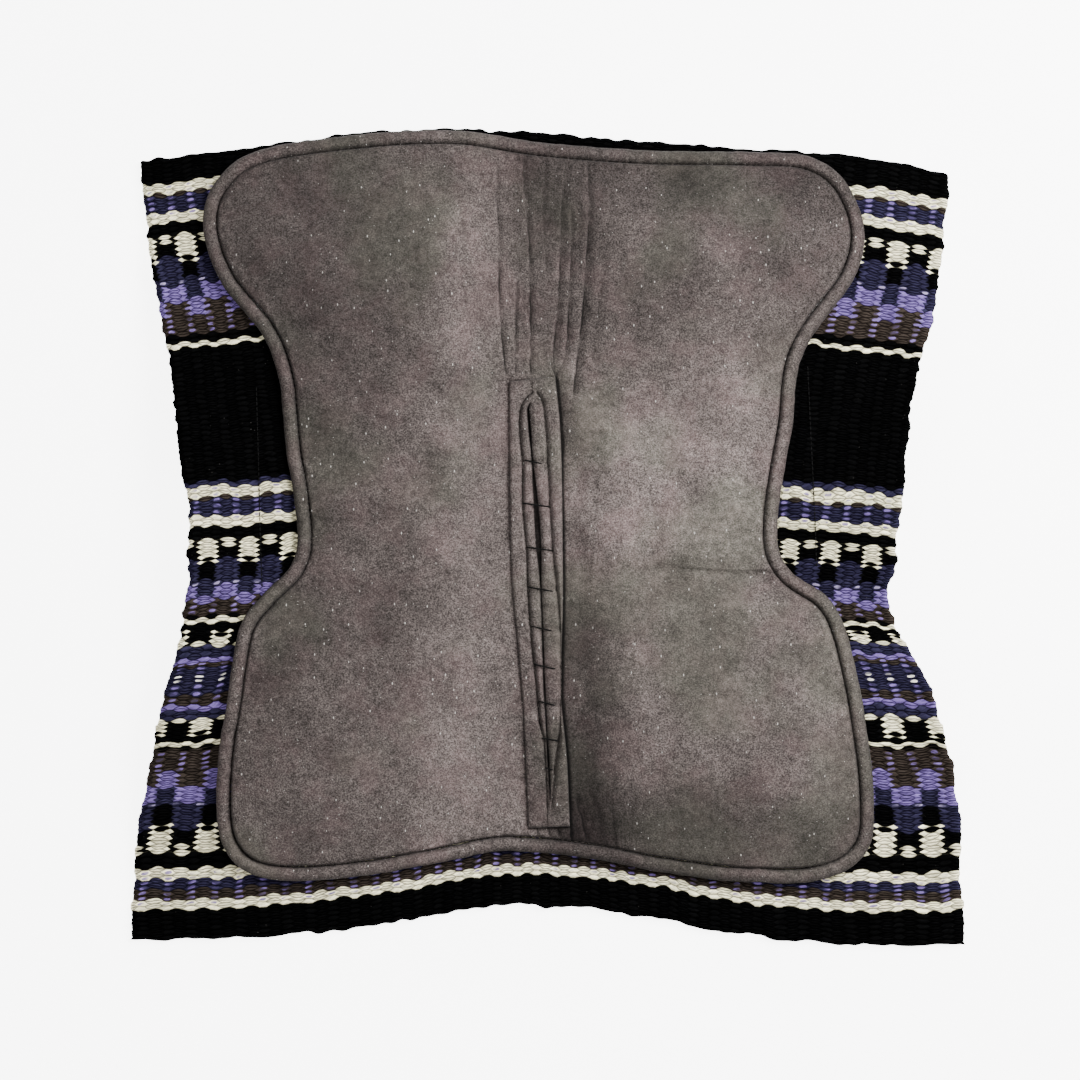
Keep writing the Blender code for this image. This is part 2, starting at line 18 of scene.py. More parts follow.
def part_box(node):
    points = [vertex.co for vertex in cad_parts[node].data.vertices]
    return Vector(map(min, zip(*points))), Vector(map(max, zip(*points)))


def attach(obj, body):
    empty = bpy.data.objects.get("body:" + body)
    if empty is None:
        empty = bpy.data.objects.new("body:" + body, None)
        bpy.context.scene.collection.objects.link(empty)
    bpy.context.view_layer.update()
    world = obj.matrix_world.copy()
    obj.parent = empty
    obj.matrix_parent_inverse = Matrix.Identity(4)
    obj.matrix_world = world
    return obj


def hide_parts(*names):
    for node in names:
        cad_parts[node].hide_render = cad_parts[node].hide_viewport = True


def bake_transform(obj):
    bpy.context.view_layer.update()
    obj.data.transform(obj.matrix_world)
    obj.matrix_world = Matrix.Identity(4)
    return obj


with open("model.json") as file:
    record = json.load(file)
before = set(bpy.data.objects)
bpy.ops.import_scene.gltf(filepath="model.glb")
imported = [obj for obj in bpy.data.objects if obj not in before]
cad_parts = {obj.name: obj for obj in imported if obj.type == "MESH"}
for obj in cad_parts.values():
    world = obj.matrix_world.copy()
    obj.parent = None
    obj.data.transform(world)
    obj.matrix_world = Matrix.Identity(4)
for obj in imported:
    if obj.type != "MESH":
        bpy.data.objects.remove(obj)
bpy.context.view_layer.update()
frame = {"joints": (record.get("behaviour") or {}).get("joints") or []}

# The frame's own figures
HINGE = frame["joints"][0]["pos_m"]
BAND_FRONT_Y = 0.166
SHIFT = np.array((HINGE[0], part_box("spine_band_right")[1][1] - BAND_FRONT_Y, 0.0))

# Sizes in plan, as the solids have them
BLANKET_HALF_WIDTH = 0.42
BLANKET_HALF_LENGTH = 0.41
FELT_HALF_WIDTH = 0.33
FELT_HALF_LENGTH = 0.384
FELT_MIDDLE_Y = 0.036
ROLL_WIDTH = 0.014
ROLL_HEIGHT = 0.0092
LEATHER_X = 0.223
LEATHER_Y = 0.08
LEATHER_SIZE = (0.11, 0.275)
LEATHER_CORNER = 0.03
LEATHER_SEAM_INSET = 0.004
LEATHER_LINE_ENDS = (0.165, -0.035)
LEAST_LIP = 0.0022

# Steps of the lines and grids
LOOP_STEP = 0.0015
LINE_STEP = 0.002
ROLL_STEP = 0.0016
GRID_SPREAD = 0.0026

# Heights
BLANKET_THICKNESS = 0.007
LAYER_GAP = 0.0008
CORE_RIM = 0.0015
CORE_THICKNESS = 0.008
FELT_THICKNESS = 0.006
LEATHER_THICKNESS = 0.003
LEATHER_GAP = 0.0004
BAND_LEVEL = 0.02
EDGE_STITCH_RISE = 0.0050
SLIT_STITCH_RISE = 0.0016
TACK_RISE = 0.0036
TACK_SINK = 0.0016
TACK_RADIUS = 0.00062
CHANNEL_HALF_WIDTH = 0.016
SWELL_RUN = 0.07
SEAM_INSET = 0.0146
CORE_INSET = 0.0218

# The photograph's view: one pixel of its 1080 is a millimetre at the pad
ROLL_ANGLE = math.atan(17 / 450)
SPINE_PIXEL = (538.3, 545.0)
PIXEL = 0.001
FRAME_PIXELS = 1080
SENSOR = 0.036
VIEW_TILT = math.radians(6)
VIEW_DISTANCE = 2.6

# Blanket edges as shares of its half width and half length
FRONT_EDGE = (
    (-0.915, 0.975), (-0.63, 1.0), (-0.34, 1.026), (-0.05, 1.016),
    (0.23, 0.985), (0.52, 0.95), (0.8, 0.918), (1.013, 0.87),
)
RIGHT_EDGE = (
    (1.013, 0.87), (0.989, 0.66), (0.959, 0.51), (0.916, 0.37), (0.891, 0.22), (0.874, 0.075),
    (0.85, -0.07), (0.837, -0.2), (0.917, -0.365), (0.953, -0.51), (0.978, -0.66), (0.98, -1.012),
)
REAR_EDGE = (
    (-1.002, -0.925), (-0.7, -0.93), (-0.41, -0.912), (-0.12, -0.876),
    (0.16, -0.904), (0.445, -0.969), (0.73, -1.005), (0.98, -1.012),
)
LEFT_EDGE = (
    (-0.915, 0.975), (-0.898, 0.73), (-0.866, 0.51), (-0.85, 0.29), (-0.832, 0.07),
    (-0.854, -0.15), (-0.915, -0.367), (-0.966, -0.585), (-0.998, -0.8), (-1.002, -0.925),
)

# Felt outline as shares of its half width and half length, clockwise from the front middle, and
# the front and rear corners of its left and right half
FELT_OUTLINE = (
    (0.05, 0.955), (0.364, 0.924), (0.676, 0.909), (0.86, 0.892), (0.973, 0.822), (1.024, 0.69),
    (0.985, 0.565), (0.88, 0.452), (0.812, 0.35), (0.785, 0.2), (0.74, 0.01), (0.728, -0.11),
    (0.765, -0.188), (0.87, -0.258), (0.921, -0.345), (0.965, -0.54), (0.988, -0.77),
    (0.965, -0.915), (0.84, -0.99), (0.6, -0.993), (0.33, -0.956), (0.073, -0.908),
    (-0.155, -0.888), (-0.415, -0.922), (-0.7, -0.945), (-0.9, -0.925), (-0.995, -0.83),
    (-0.998, -0.65), (-0.96, -0.46), (-0.915, -0.28), (-0.84, -0.195), (-0.748, -0.115),
    (-0.73, -0.01), (-0.755, 0.2), (-0.767, 0.365), (-0.815, 0.485), (-0.93, 0.62),
    (-0.979, 0.765), (-0.935, 0.885), (-0.8, 0.962), (-0.488, 0.993), (-0.2, 0.994),
)
FELT_CORNERS = {1: ((0.965, 0.84), (0.93, -0.955)), -1: ((-0.93, 0.9), (-0.95, -0.9))}

# Band, slit and pleats, as places in the photograph's pixels
BAND_LEFT = (
    (509, 381), (509, 424), (510, 513), (512, 583), (518, 647), (523, 711), (526, 775), (528, 827),
)
BAND_RIGHT = ((555, 376), (561, 443), (563, 583), (562, 640), (561, 695), (567, 759), (570, 828))
GROOVE_LEFT = (
    (535, 391), (526, 398), (521, 409), (520, 430), (523, 465), (523, 503), (527, 551), (528, 583),
    (531, 631), (536, 679), (540, 720), (545, 743), (547, 775), (548, 808),
)
GROOVE_RIGHT = (
    (536, 391), (540, 397), (544, 408), (547, 443), (550, 503), (553, 551), (558, 599), (561, 647),
    (560, 727), (556, 759), (552, 808),
)
SLIT = (
    (535, 391), (528, 408), (532, 456), (536, 503), (540, 567), (542, 615), (544, 679),
    (547, 736), (550, 790), (550, 808),
)
# How many pixels the slit gapes at these pixel rows, and the share of that which is open
SLIT_OPEN = 0.75
SLIT_COLUMN = 540
SLIT_GAPS = (
    (402, 0), (405, 1.4), (410, 2.4), (430, 2.8), (452, 0.9), (463, 0.9), (485, 4.0), (505, 5.0),
    (520, 6.6), (545, 6.0), (560, 4.2), (575, 1.8), (588, 0.9), (610, 1.0), (629, 0.8), (650, 1.4),
    (667, 0.8), (690, 2.0), (704, 0.8), (722, 0.7), (740, 1.0), (757, 2.2), (769, 0.9), (785, 0.8),
    (800, 0.5), (806, 0),
)
TACKS = (
    ((524, 460), (543, 464)), ((522, 503), (551, 507)), ((526, 547), (554, 551)),
    ((528, 587), (556, 592)), ((531, 626), (556, 632)), ((533, 664), (559, 670)),
    ((538, 701), (557, 706)), ((541, 738), (559, 741)), ((545, 768), (553, 770)),
)
# Folds: places, half width and depth in millimetres, and the side that drops: -1 is on the right
# of a fold that runs to the rear, and 0 is a soft valley with no lip
FOLDS = (
    (((497, 170), (496, 200), (499, 240), (499, 304), (505, 372)), 6, 2.2, -1),
    (((523, 160), (524, 190), (529, 253), (530, 342), (530, 372)), 7, 2.4, -1),
    (((516, 285), (515, 372)), 4, 2.2, -1),
    (((548, 352), (551, 366), (555, 378)), 4, 2.6, -1),
    (((545, 158), (543, 190), (544, 230), (546, 270)), 6, 1.1, -1),
    (((566, 152), (562, 205), (560, 253), (557, 317), (553, 355), (555, 374)), 8, 2.2, -1),
    (((570, 215), (571, 253), (568, 304), (566, 350), (557, 374)), 6, 2.2, -1),
    (((588, 152), (588, 215), (585, 279), (579, 342), (573, 390)), 9, 2.8, -1),
    (((611, 158), (608, 215), (600, 290), (592, 360)), 10, 0.9, -1),
    (((537, 829), (538, 852)), 3, 2.4, -1),
    (((548, 829), (549, 852)), 3, 2.4, -1),
    (((558, 829), (560, 854)), 3, 2.4, -1),
    (((576, 800), (581, 818), (587, 848)), 7, 2.6, -1),
    (((590, 800), (598, 822), (606, 852)), 9, 0.8, -1),
    (((612, 800), (618, 852)), 9, 0.8, 1),
    (((598, 480), (596, 520), (591, 570)), 5, 0.6, 1),
    (((625, 574), (680, 566), (730, 568), (778, 580)), 11, 1.2, 0),
    (((672, 567), (700, 569), (735, 571), (774, 571)), 6, 2.0, 1),
    (((296, 585), (350, 590), (420, 600)), 14, 1.2, 0),
    (((700, 620), (770, 640), (838, 690)), 26, 1.6, 0),
    (((240, 700), (330, 640), (430, 620)), 30, 1.4, 0),
)

# The weave from the front hem to the rear hem. Each row says at which line it starts, and then
# one word for each line of floats, the last of which goes on to the next row. Each line lies
# half a pick behind the last. Even lines name the wools of a narrow and of a wide block's
# float, and odd lines those of the outer and the inner half of the floats between them, and
# the wool of a short tick on them.
WEAVE = """
0 kk
12 cc ccl cc ccl bb nnl nn nnl nn nnl nn ccl
24 cc cc cc kk
32 cc kc cc kc kc kc kc kc nk nc nk
48 nn nnt nn ln ln ln ln ln ll bl bl bll bl bll bb bbl bb bbl bb bbl bb kk
72 cc cc kk
126 nn nn cc ccl cc ccl bb nnl nn nnl nn nnl nn ccl
140 cc cc cc kk
148 cc kc cc kc kc kc kc kc nk nc nk
164 nn nnt ln ln ln ln ll bl bl bbl bb bbl bb kk
178 cc cc kk
183 kc kk kc kc kc cc nn
193 ll ll bbl bb nnl nn nnl nn nnw nn nnw nn nnl nn nnl bb bbl bb ll ll nn
216 cc kc kc kc kc kc kk kc kk
227 cc cc kk
230 bb bbl bb bbl bb bbl bb bbl bl bl bl bl bl bl ll ln ln ln ln ln ln nnt nk
259 nc nk kc kc kc kc kc cc kc cc kk
274 cc ccl cc ccl nn nnl nn nnl bb bbl bb bbl cc ccl cc cc kk
"""
WEAVE_LINES = 303
# At these lines the narrow and the wide blocks change places
BLOCK_CHANGES = (100, 181, 229)
# How many millimetres behind its even place a line lies beside each selvage
LEFT_LAG = (
    (0, 0), (13.5, -4), (25, -1), (37, 0), (72.5, 10.5), (130, 10), (141, 12), (153, 8), (178.5, 8.5),
    (186.5, 8.5), (193.5, 11), (203, 5), (211.5, 10.5), (216, 11), (227.5, 4.5), (259, 2.5),
    (268, 4), (275, 7), (287.5, 5), (302, 0),
)
RIGHT_LAG = (
    (0, 0), (13.5, -1), (25, 1), (37, 0), (72.5, 9), (126, 5), (130, 8.5), (141, 9), (148, 4), (157, 0),
    (178.5, 2.5), (186.5, -3.5), (203, -1), (211.5, -1), (216, 4), (223, 5), (227.5, 0), (259, -1),
    (268, 1), (275, 6), (287.5, 0), (302, 0),
)
WOOLS = {
    "k": (0.0020, 0.0020, 0.0021),
    "c": (0.99, 0.92, 0.62),
    "n": (0.0195, 0.0172, 0.0385),
    "l": (0.150, 0.104, 0.300),
    "t": (0.280, 0.235, 0.390),
    "b": (0.0310, 0.0240, 0.0198),
    "w": (0.88, 0.84, 0.74),
}
LEFT_SELVAGE_COLUMN = -1.9
RIGHT_SELVAGE_COLUMN = 74.4
FLOAT_HEIGHT = 0.0016
GRID_PER_COLUMN = 4
GRID_PER_PICK = 4

# The lens shape of a float, the tips of the wools that lie between, and the short ticks, in columns
# and picks
LENS_REACH = 0.74
TIP_REACH = 0.06
TICK_HALF_WIDTH = 0.32
TICK_HALF_HEIGHT = 0.25

STITCH_PITCH = 0.0066
SLIT_PITCH = 0.0055
LEATHER_PITCH = 0.005

# Section of the edge roll, from outside over the top to the inside: places across and up, as shares
# of its half width and its height, and the painted light and shade there, lit on top and dark below
ROLL_PROFILE = (
    (-1.0, 0.30, 0.40), (-0.99, 0.46, 0.44), (-0.93, 0.63, 0.50), (-0.80, 0.78, 0.60),
    (-0.58, 0.90, 0.78), (-0.28, 0.975, 0.98), (0.05, 1.0, 1.10), (0.36, 0.975, 1.10),
    (0.62, 0.88, 0.92), (0.82, 0.72, 0.66), (0.97, 0.50, 0.42), (1.05, 0.20, 0.36),
    (0.8, 0.03, 0.4), (0.3, 0.0, 0.4), (-0.3, 0.0, 0.4), (-0.8, 0.03, 0.4), (-0.96, 0.14, 0.4),
)
# Painted shade on the lower faces of the lining and the band, which get little light
HIDDEN_FELT_SHADE = 0.6
HIDDEN_BAND_SHADE = 0.08

# Colours of the felt's fibres, and of what sticks in the felt and the wool
FELT_DARK = (0.038, 0.0311, 0.0290)
FELT_LIGHT = (0.146, 0.1215, 0.1140)
FELT_BROWN = (0.096, 0.062, 0.062)
FELT_GREEN = (0.072, 0.074, 0.057)
LINT = (0.50, 0.48, 0.45)
BURR = (0.02, 0.017, 0.016)
FLECK = (0.16, 0.15, 0.14)

# Lamps: name, place, size and power
LAMPS = (
    ("key_light", (1.6, 0.8, 1.6), 1.6, 168.0),
    ("fill_light", (-1.8, -0.6, 2.2), 1.6, 25.0),
)
SKY_STRENGTH = 0.90
FLOOR_GLOW = 6.0
FLOOR_REACH = 6.0
FLOOR_LEVEL = -0.0005


def bump(distance, reach):
    """One at no distance, falling smoothly to zero at the reach."""
    share = np.minimum(np.abs(distance) / reach, 1.0)
    return (1 - share**2) ** 2


def eased(share):
    """A smooth step from zero to one."""
    share = np.clip(share, 0.0, 1.0)
    return share * share * (3 - 2 * share)


def within(place, start, start_run, end, end_run):
    """One between the start and the end, easing in behind the one and out before the other."""
    return eased((place - start) / start_run) * eased((end - place) / end_run)


def rounded(distance, reach):
    """A quarter round that rises from zero at an edge to one at the reach."""
    share = 1 - np.clip(distance / reach, 0.0, 1.0)
    return np.sqrt(np.maximum(1 - share**2, 0.0))


def ripples(x, y, size, seed, count=10):
    """Smooth irregular ups and downs of about this length, mostly between -1 and 1."""
    draw = np.random.default_rng(seed)
    total = np.zeros(np.broadcast(x, y).shape)
    for _ in range(count):
        angle, phase = draw.uniform(0, math.tau, 2)
        length = size * draw.uniform(0.65, 1.6)
        total += np.sin((x * math.cos(angle) + y * math.sin(angle)) * math.tau / length + phase)
    return total / math.sqrt(count)


def crease(x, y):
    """How deep the crease behind the waist is here."""
    out = np.clip((np.abs(x) - 0.08) / 0.28, 0.0, 1.0)
    middle = -0.027 - 0.063 * eased(2 * out - 1)
    return np.where(x > 0, 0.01, 0.005) * out * bump(y - middle, 0.07)


def relief(x, y):
    """Height of the blanket's lower face over the floor, as the solids have it."""
    out = np.maximum(np.abs(x) - 0.055, 0.0) / 0.3
    height = 0.045 * out**1.6 * bump(y - 0.02, 0.36)
    across = bump(np.abs(x) - 0.215, 0.155)
    height += across * (0.016 * bump(y - 0.235, 0.17) + 0.02 * bump(y + 0.2, 0.17))
    return np.maximum(height - crease(x, y), 0.0)


def blanket_top(x, y):
    return relief(x, y) + BLANKET_THICKNESS


def smooth_line(places, step, closed=False):
    """Points about this far apart on the smooth curve through these places."""
    places = np.asarray(places, float)
    before_all, after_all = (places[-1:], places[:2]) if closed else (places[:1], places[-1:])
    around = np.concatenate([before_all, places, after_all])
    t = np.linspace(0, 1, 24, endpoint=False)[:, None]
    dense = []
    for before, start, end, after in zip(around, around[1:], around[2:], around[3:]):
        leave, arrive = (end - before) / 2, (after - start) / 2
        dense.append(
            (2 * t**3 - 3 * t**2 + 1) * start + (t**3 - 2 * t**2 + t) * leave
            + (3 * t**2 - 2 * t**3) * end + (t**3 - t**2) * arrive
        )
    dense.append(places[:1] if closed else places[-1:])
    return evenly(np.concatenate(dense), step, closed)


def lengths_along(points):
    return np.concatenate([[0.0], np.cumsum(np.linalg.norm(np.diff(points, axis=0), axis=1))])


def at_shares(points, shares):
    """Points at these shares of the polyline's length."""
    along = lengths_along(points)
    wanted = np.asarray(shares) * along[-1]
    return np.stack([np.interp(wanted, along, points[:, axis]) for axis in range(points.shape[1])], -1)


def evenly(points, step, closed=False):
    """The polyline cut again into steps of one length. A closed one loses its repeated last point."""
    count = max(2, round(lengths_along(points)[-1] / step))
    again = at_shares(points, np.linspace(0, 1, count + 1))
    return again[:-1] if closed else again


def closed_path(loop):
    return np.concatenate([loop, loop[:1]])


def patch_between(front, rear, left, right, across, down):
    """Places at these shares across and down a patch between four edges.

    The front and rear edges are lines from the left, and the others give their place on each row."""
    ends = [(1 - down) * front[end] + down * rear[end] for end in (0, -1)]
    rows = (1 - down) * at_shares(front, across[..., 0]) + down * at_shares(rear, across[..., 0])
    return rows + (1 - across) * (left[:, None] - ends[0]) + across * (right[:, None] - ends[1])


def inset(loop, distance):
    """The clockwise loop moved inwards by this distance."""
    along = np.roll(loop, -2, axis=0) - np.roll(loop, 2, axis=0)
    along /= np.linalg.norm(along, axis=1)[:, None]
    return loop + distance * np.stack([along[:, 1], -along[:, 0]], -1)


def view_axes():
    """Where the camera is, and its right, up and forward directions, in the spine frame."""
    right = np.array((math.cos(ROLL_ANGLE), -math.sin(ROLL_ANGLE), 0.0))
    flat_up = np.array((math.sin(ROLL_ANGLE), math.cos(ROLL_ANGLE), 0.0))
    rise = np.array((0.0, 0.0, 1.0))
    up = flat_up * math.cos(VIEW_TILT) + rise * math.sin(VIEW_TILT)
    forward = np.cross(up, right)
    centre = (np.array((FRAME_PIXELS / 2, FRAME_PIXELS / 2)) - SPINE_PIXEL) * PIXEL
    target = right * centre[0] - flat_up * centre[1]
    return target - forward * VIEW_DISTANCE, right, up, forward


EYE, VIEW_RIGHT, VIEW_UP, VIEW_FORWARD = view_axes()


def on_surface(pixels, height):
    """Where the photograph's pixels lie on a surface of this height, in the spine frame."""
    pixels = np.asarray(pixels, float)
    across = (pixels[..., :1] - FRAME_PIXELS / 2) * PIXEL / VIEW_DISTANCE
    down = (pixels[..., 1:2] - FRAME_PIXELS / 2) * PIXEL / VIEW_DISTANCE
    ray = VIEW_FORWARD + across * VIEW_RIGHT - down * VIEW_UP
    level = np.zeros(pixels.shape[:-1])
    for _ in range(6):
        place = EYE + ray * ((level - EYE[2]) / ray[..., 2])[..., None]
        level = height(place[..., 0], place[..., 1])
    return place[..., :2]


def to_pixels(plan):
    """The photograph's pixels of places that were measured as if all lay flat, in the spine frame."""
    x, y = plan[..., 0], plan[..., 1]
    right = x * math.cos(ROLL_ANGLE) - y * math.sin(ROLL_ANGLE)
    up = x * math.sin(ROLL_ANGLE) + y * math.cos(ROLL_ANGLE)
    return np.stack([SPINE_PIXEL[0] + right / PIXEL, SPINE_PIXEL[1] - up / PIXEL], -1)


def seen(shares, half_width, half_length, middle_y, height):
    """Places in plan that look in the view as these shares do in the photograph."""
    plan = np.array(shares) * (half_width, half_length) + (0.0, middle_y)
    return on_surface(to_pixels(plan), height)


def felt_height(x, y):
    return blanket_top(x, y) + FELT_THICKNESS


def band_height(x, y):
    """One level near the band's, at which the pixels of the band and the slit are placed."""
    return BAND_LEVEL + 0 * x


def blanket_edge(shares):
    plan = seen(shares, BLANKET_HALF_WIDTH, BLANKET_HALF_LENGTH, 0.0, blanket_top)
    return smooth_line(plan, LINE_STEP)


FELT_LOOP = smooth_line(
    seen(FELT_OUTLINE, FELT_HALF_WIDTH, FELT_HALF_LENGTH, FELT_MIDDLE_Y, felt_height),
    LOOP_STEP, closed=True,
)
SEAM_LOOP = evenly(closed_path(inset(FELT_LOOP, SEAM_INSET)), LOOP_STEP, closed=True)


def distance_to(line, x, y, closed=False):
    """How far each place is from the polyline, and on which side: right of its run is positive."""
    line = np.asarray(line, float)
    ends = np.roll(line, -1, axis=0) if closed else line[1:]
    starts = line if closed else line[:-1]
    flat_x, flat_y = np.ravel(x), np.ravel(y)
    nearest = np.full(flat_x.shape, np.inf)
    side = np.zeros(flat_x.shape)
    for start, end in zip(starts, ends):
        run = end - start
        squared = max(run @ run, 1e-12)
        from_x, from_y = flat_x - start[0], flat_y - start[1]
        share = np.clip((from_x * run[0] + from_y * run[1]) / squared, 0.0, 1.0)
        far = np.hypot(from_x - share * run[0], from_y - share * run[1])
        better = far < nearest
        nearest = np.where(better, far, nearest)
        side = np.where(better, np.sign(from_x * run[1] - from_y * run[0]), side)
    return nearest.reshape(np.shape(x)), side.reshape(np.shape(x))


def seam_distance(x, y):
    """How far inside the lining's seam each place is."""
    return distance_to(SEAM_LOOP[::6], x, y, closed=True)[0]


# Meshes


def closed_mesh(name, x, y, high, low, split=None, parted=None):
    """A closed sheet between two grids of points, whose rows run to the rear and columns to the right.

    The grids share their rims. With a split, columns split and split + 1 are the two lips of a
    slit, which are one wherever parted is false. It returns the object and its points' numbers in
    the two grids."""
    rows, columns = x.shape
    number = np.arange(rows * columns).reshape(rows, columns)
    upper, lower = number.copy(), number + rows * columns
    if split is not None:
        for grid in (upper, lower):
            grid[~parted, split + 1] = grid[~parted, split]
    rim = rims(x.shape)
    lower[rim] = upper[rim]
    strips = np.array([column for column in range(columns - 1) if column != split])

    def quads(grid):
        near, far = grid[:-1], grid[1:]
        corners = (near[:, strips], far[:, strips], far[:, strips + 1], near[:, strips + 1])
        return np.stack(corners, -1).reshape(-1, 4)

    faces = [quads(upper), quads(lower)[:, ::-1]]
    if split is not None:
        torn = np.nonzero(parted[:-1] | parted[1:])[0]
        for column, turn in ((split, 1), (split + 1, -1)):
            wall = (
                upper[torn, column], upper[torn + 1, column],
                lower[torn + 1, column], lower[torn, column],
            )
            faces.append(np.stack(wall, -1)[:, ::turn])
    points = np.concatenate([np.stack([x, y, level], -1).reshape(-1, 3) for level in (high, low)])
    used, faces = np.unique(np.concatenate(faces), return_inverse=True)
    return add_mesh(name, points[used], faces.reshape(-1, 4)), used


def rims(shape):
    """True along the four sides of a grid."""
    rim = np.ones(shape, bool)
    rim[1:-1, 1:-1] = False
    return rim


def rounded_edge(high, low, middle, edge):
    """Both faces of a sheet drawn together at its edge."""
    return middle + (high - middle) * edge, middle + (low - middle) * edge


def add_mesh(name, points, faces):
    """A smooth mesh of these points, in the spine frame, with where each point rests stored in it."""
    mesh = bpy.data.meshes.new(name)
    points = np.asarray(points, float) + SHIFT
    if isinstance(faces, np.ndarray):
        faces = faces.tolist()
    mesh.from_pydata(points.tolist(), [], faces)
    mesh.update()
    mesh.shade_smooth()
    store(mesh, "place", "FLOAT_VECTOR", "vector", points)
    piece = bpy.data.objects.new(name, mesh)
    bpy.context.scene.collection.objects.link(piece)
    return piece


def store(mesh, name, kind, field, values, domain="POINT"):
    attribute = mesh.attributes.new(name, kind, domain)
    attribute.data.foreach_set(field, np.ascontiguousarray(values, np.float32).ravel())


def swept(path, radii, sides):
    """The points and faces of a tube along a path of points, with its radius at each of them."""
    along = np.roll(path, -1, axis=0) - np.roll(path, 1, axis=0)
    along[0], along[-1] = path[1] - path[0], path[-1] - path[-2]
    along /= np.linalg.norm(along, axis=1)[:, None]
    across = np.cross(along, (0.0, 0.0, 1.0))
    across /= np.linalg.norm(across, axis=1)[:, None]
    up = np.cross(across, along)
    turn = np.arange(sides) * math.tau / sides
    ring = path[:, None]
    for axis, share in ((across, np.cos(turn)), (up, np.sin(turn))):
        ring = ring + axis[:, None] * (share[None, :, None] * radii[:, None, None])
    faces = []
    for near in range(0, (len(path) - 1) * sides, sides):
        for side in range(sides):
            after = (side + 1) % sides
            faces.append((near + side, near + after, near + sides + after, near + sides + side))
    faces.append(tuple(range(sides))[::-1])
    faces.append(tuple(range((len(path) - 1) * sides, len(path) * sides)))
    return ring.reshape(-1, 3), faces


def joined(name, parts):
    """One mesh of several closed bodies."""
    points, faces, shift = [], [], 0
    for part_points, part_faces in parts:
        points.append(part_points)
        faces += [tuple(corner + shift for corner in face) for face in part_faces]
        shift += len(part_points)
    return add_mesh(name, np.concatenate(points), faces)


def stitch(start, end, thickness, sink):
    """One stitch between two points, thick in its middle and drawn into the felt at both ends."""
    share = np.array((0.0, 0.06, 0.2, 0.5, 0.8, 0.94, 1.0))
    path = start + (end - start) * share[:, None]
    path[:, 2] += sink * (np.sin(share * math.pi) ** 0.5 - 1)
    radius = thickness / 2 * np.array((0.35, 0.75, 1.0, 1.05, 1.0, 0.75, 0.35))
    return swept(path, radius, 7)


def stitches_along(line, height, pitch, cover, thickness, sink):
    """Single stitches along a line in plan, each of which covers this share of the pitch."""
    count = round(lengths_along(line)[-1] / pitch)
    middles = np.arange(count) + 0.5
    ends = []
    for turn in (-1, 1):
        places = at_shares(line, (middles + turn * cover / 2) / count)
        ends.append(np.column_stack([places, height(places[:, 0], places[:, 1])]))
    return [stitch(start, end, thickness, sink) for start, end in zip(*ends)]


# Woven blanket


def weave_lines():
    """The word of each line of floats, front to rear."""
    lines = []
    for row in WEAVE.split("\n"):
        words = row.split()
        if words:
            lines += lines[-1:] * (int(words[0]) - len(lines))
            lines += words[1:]
    return lines + lines[-1:] * (WEAVE_LINES - len(lines))


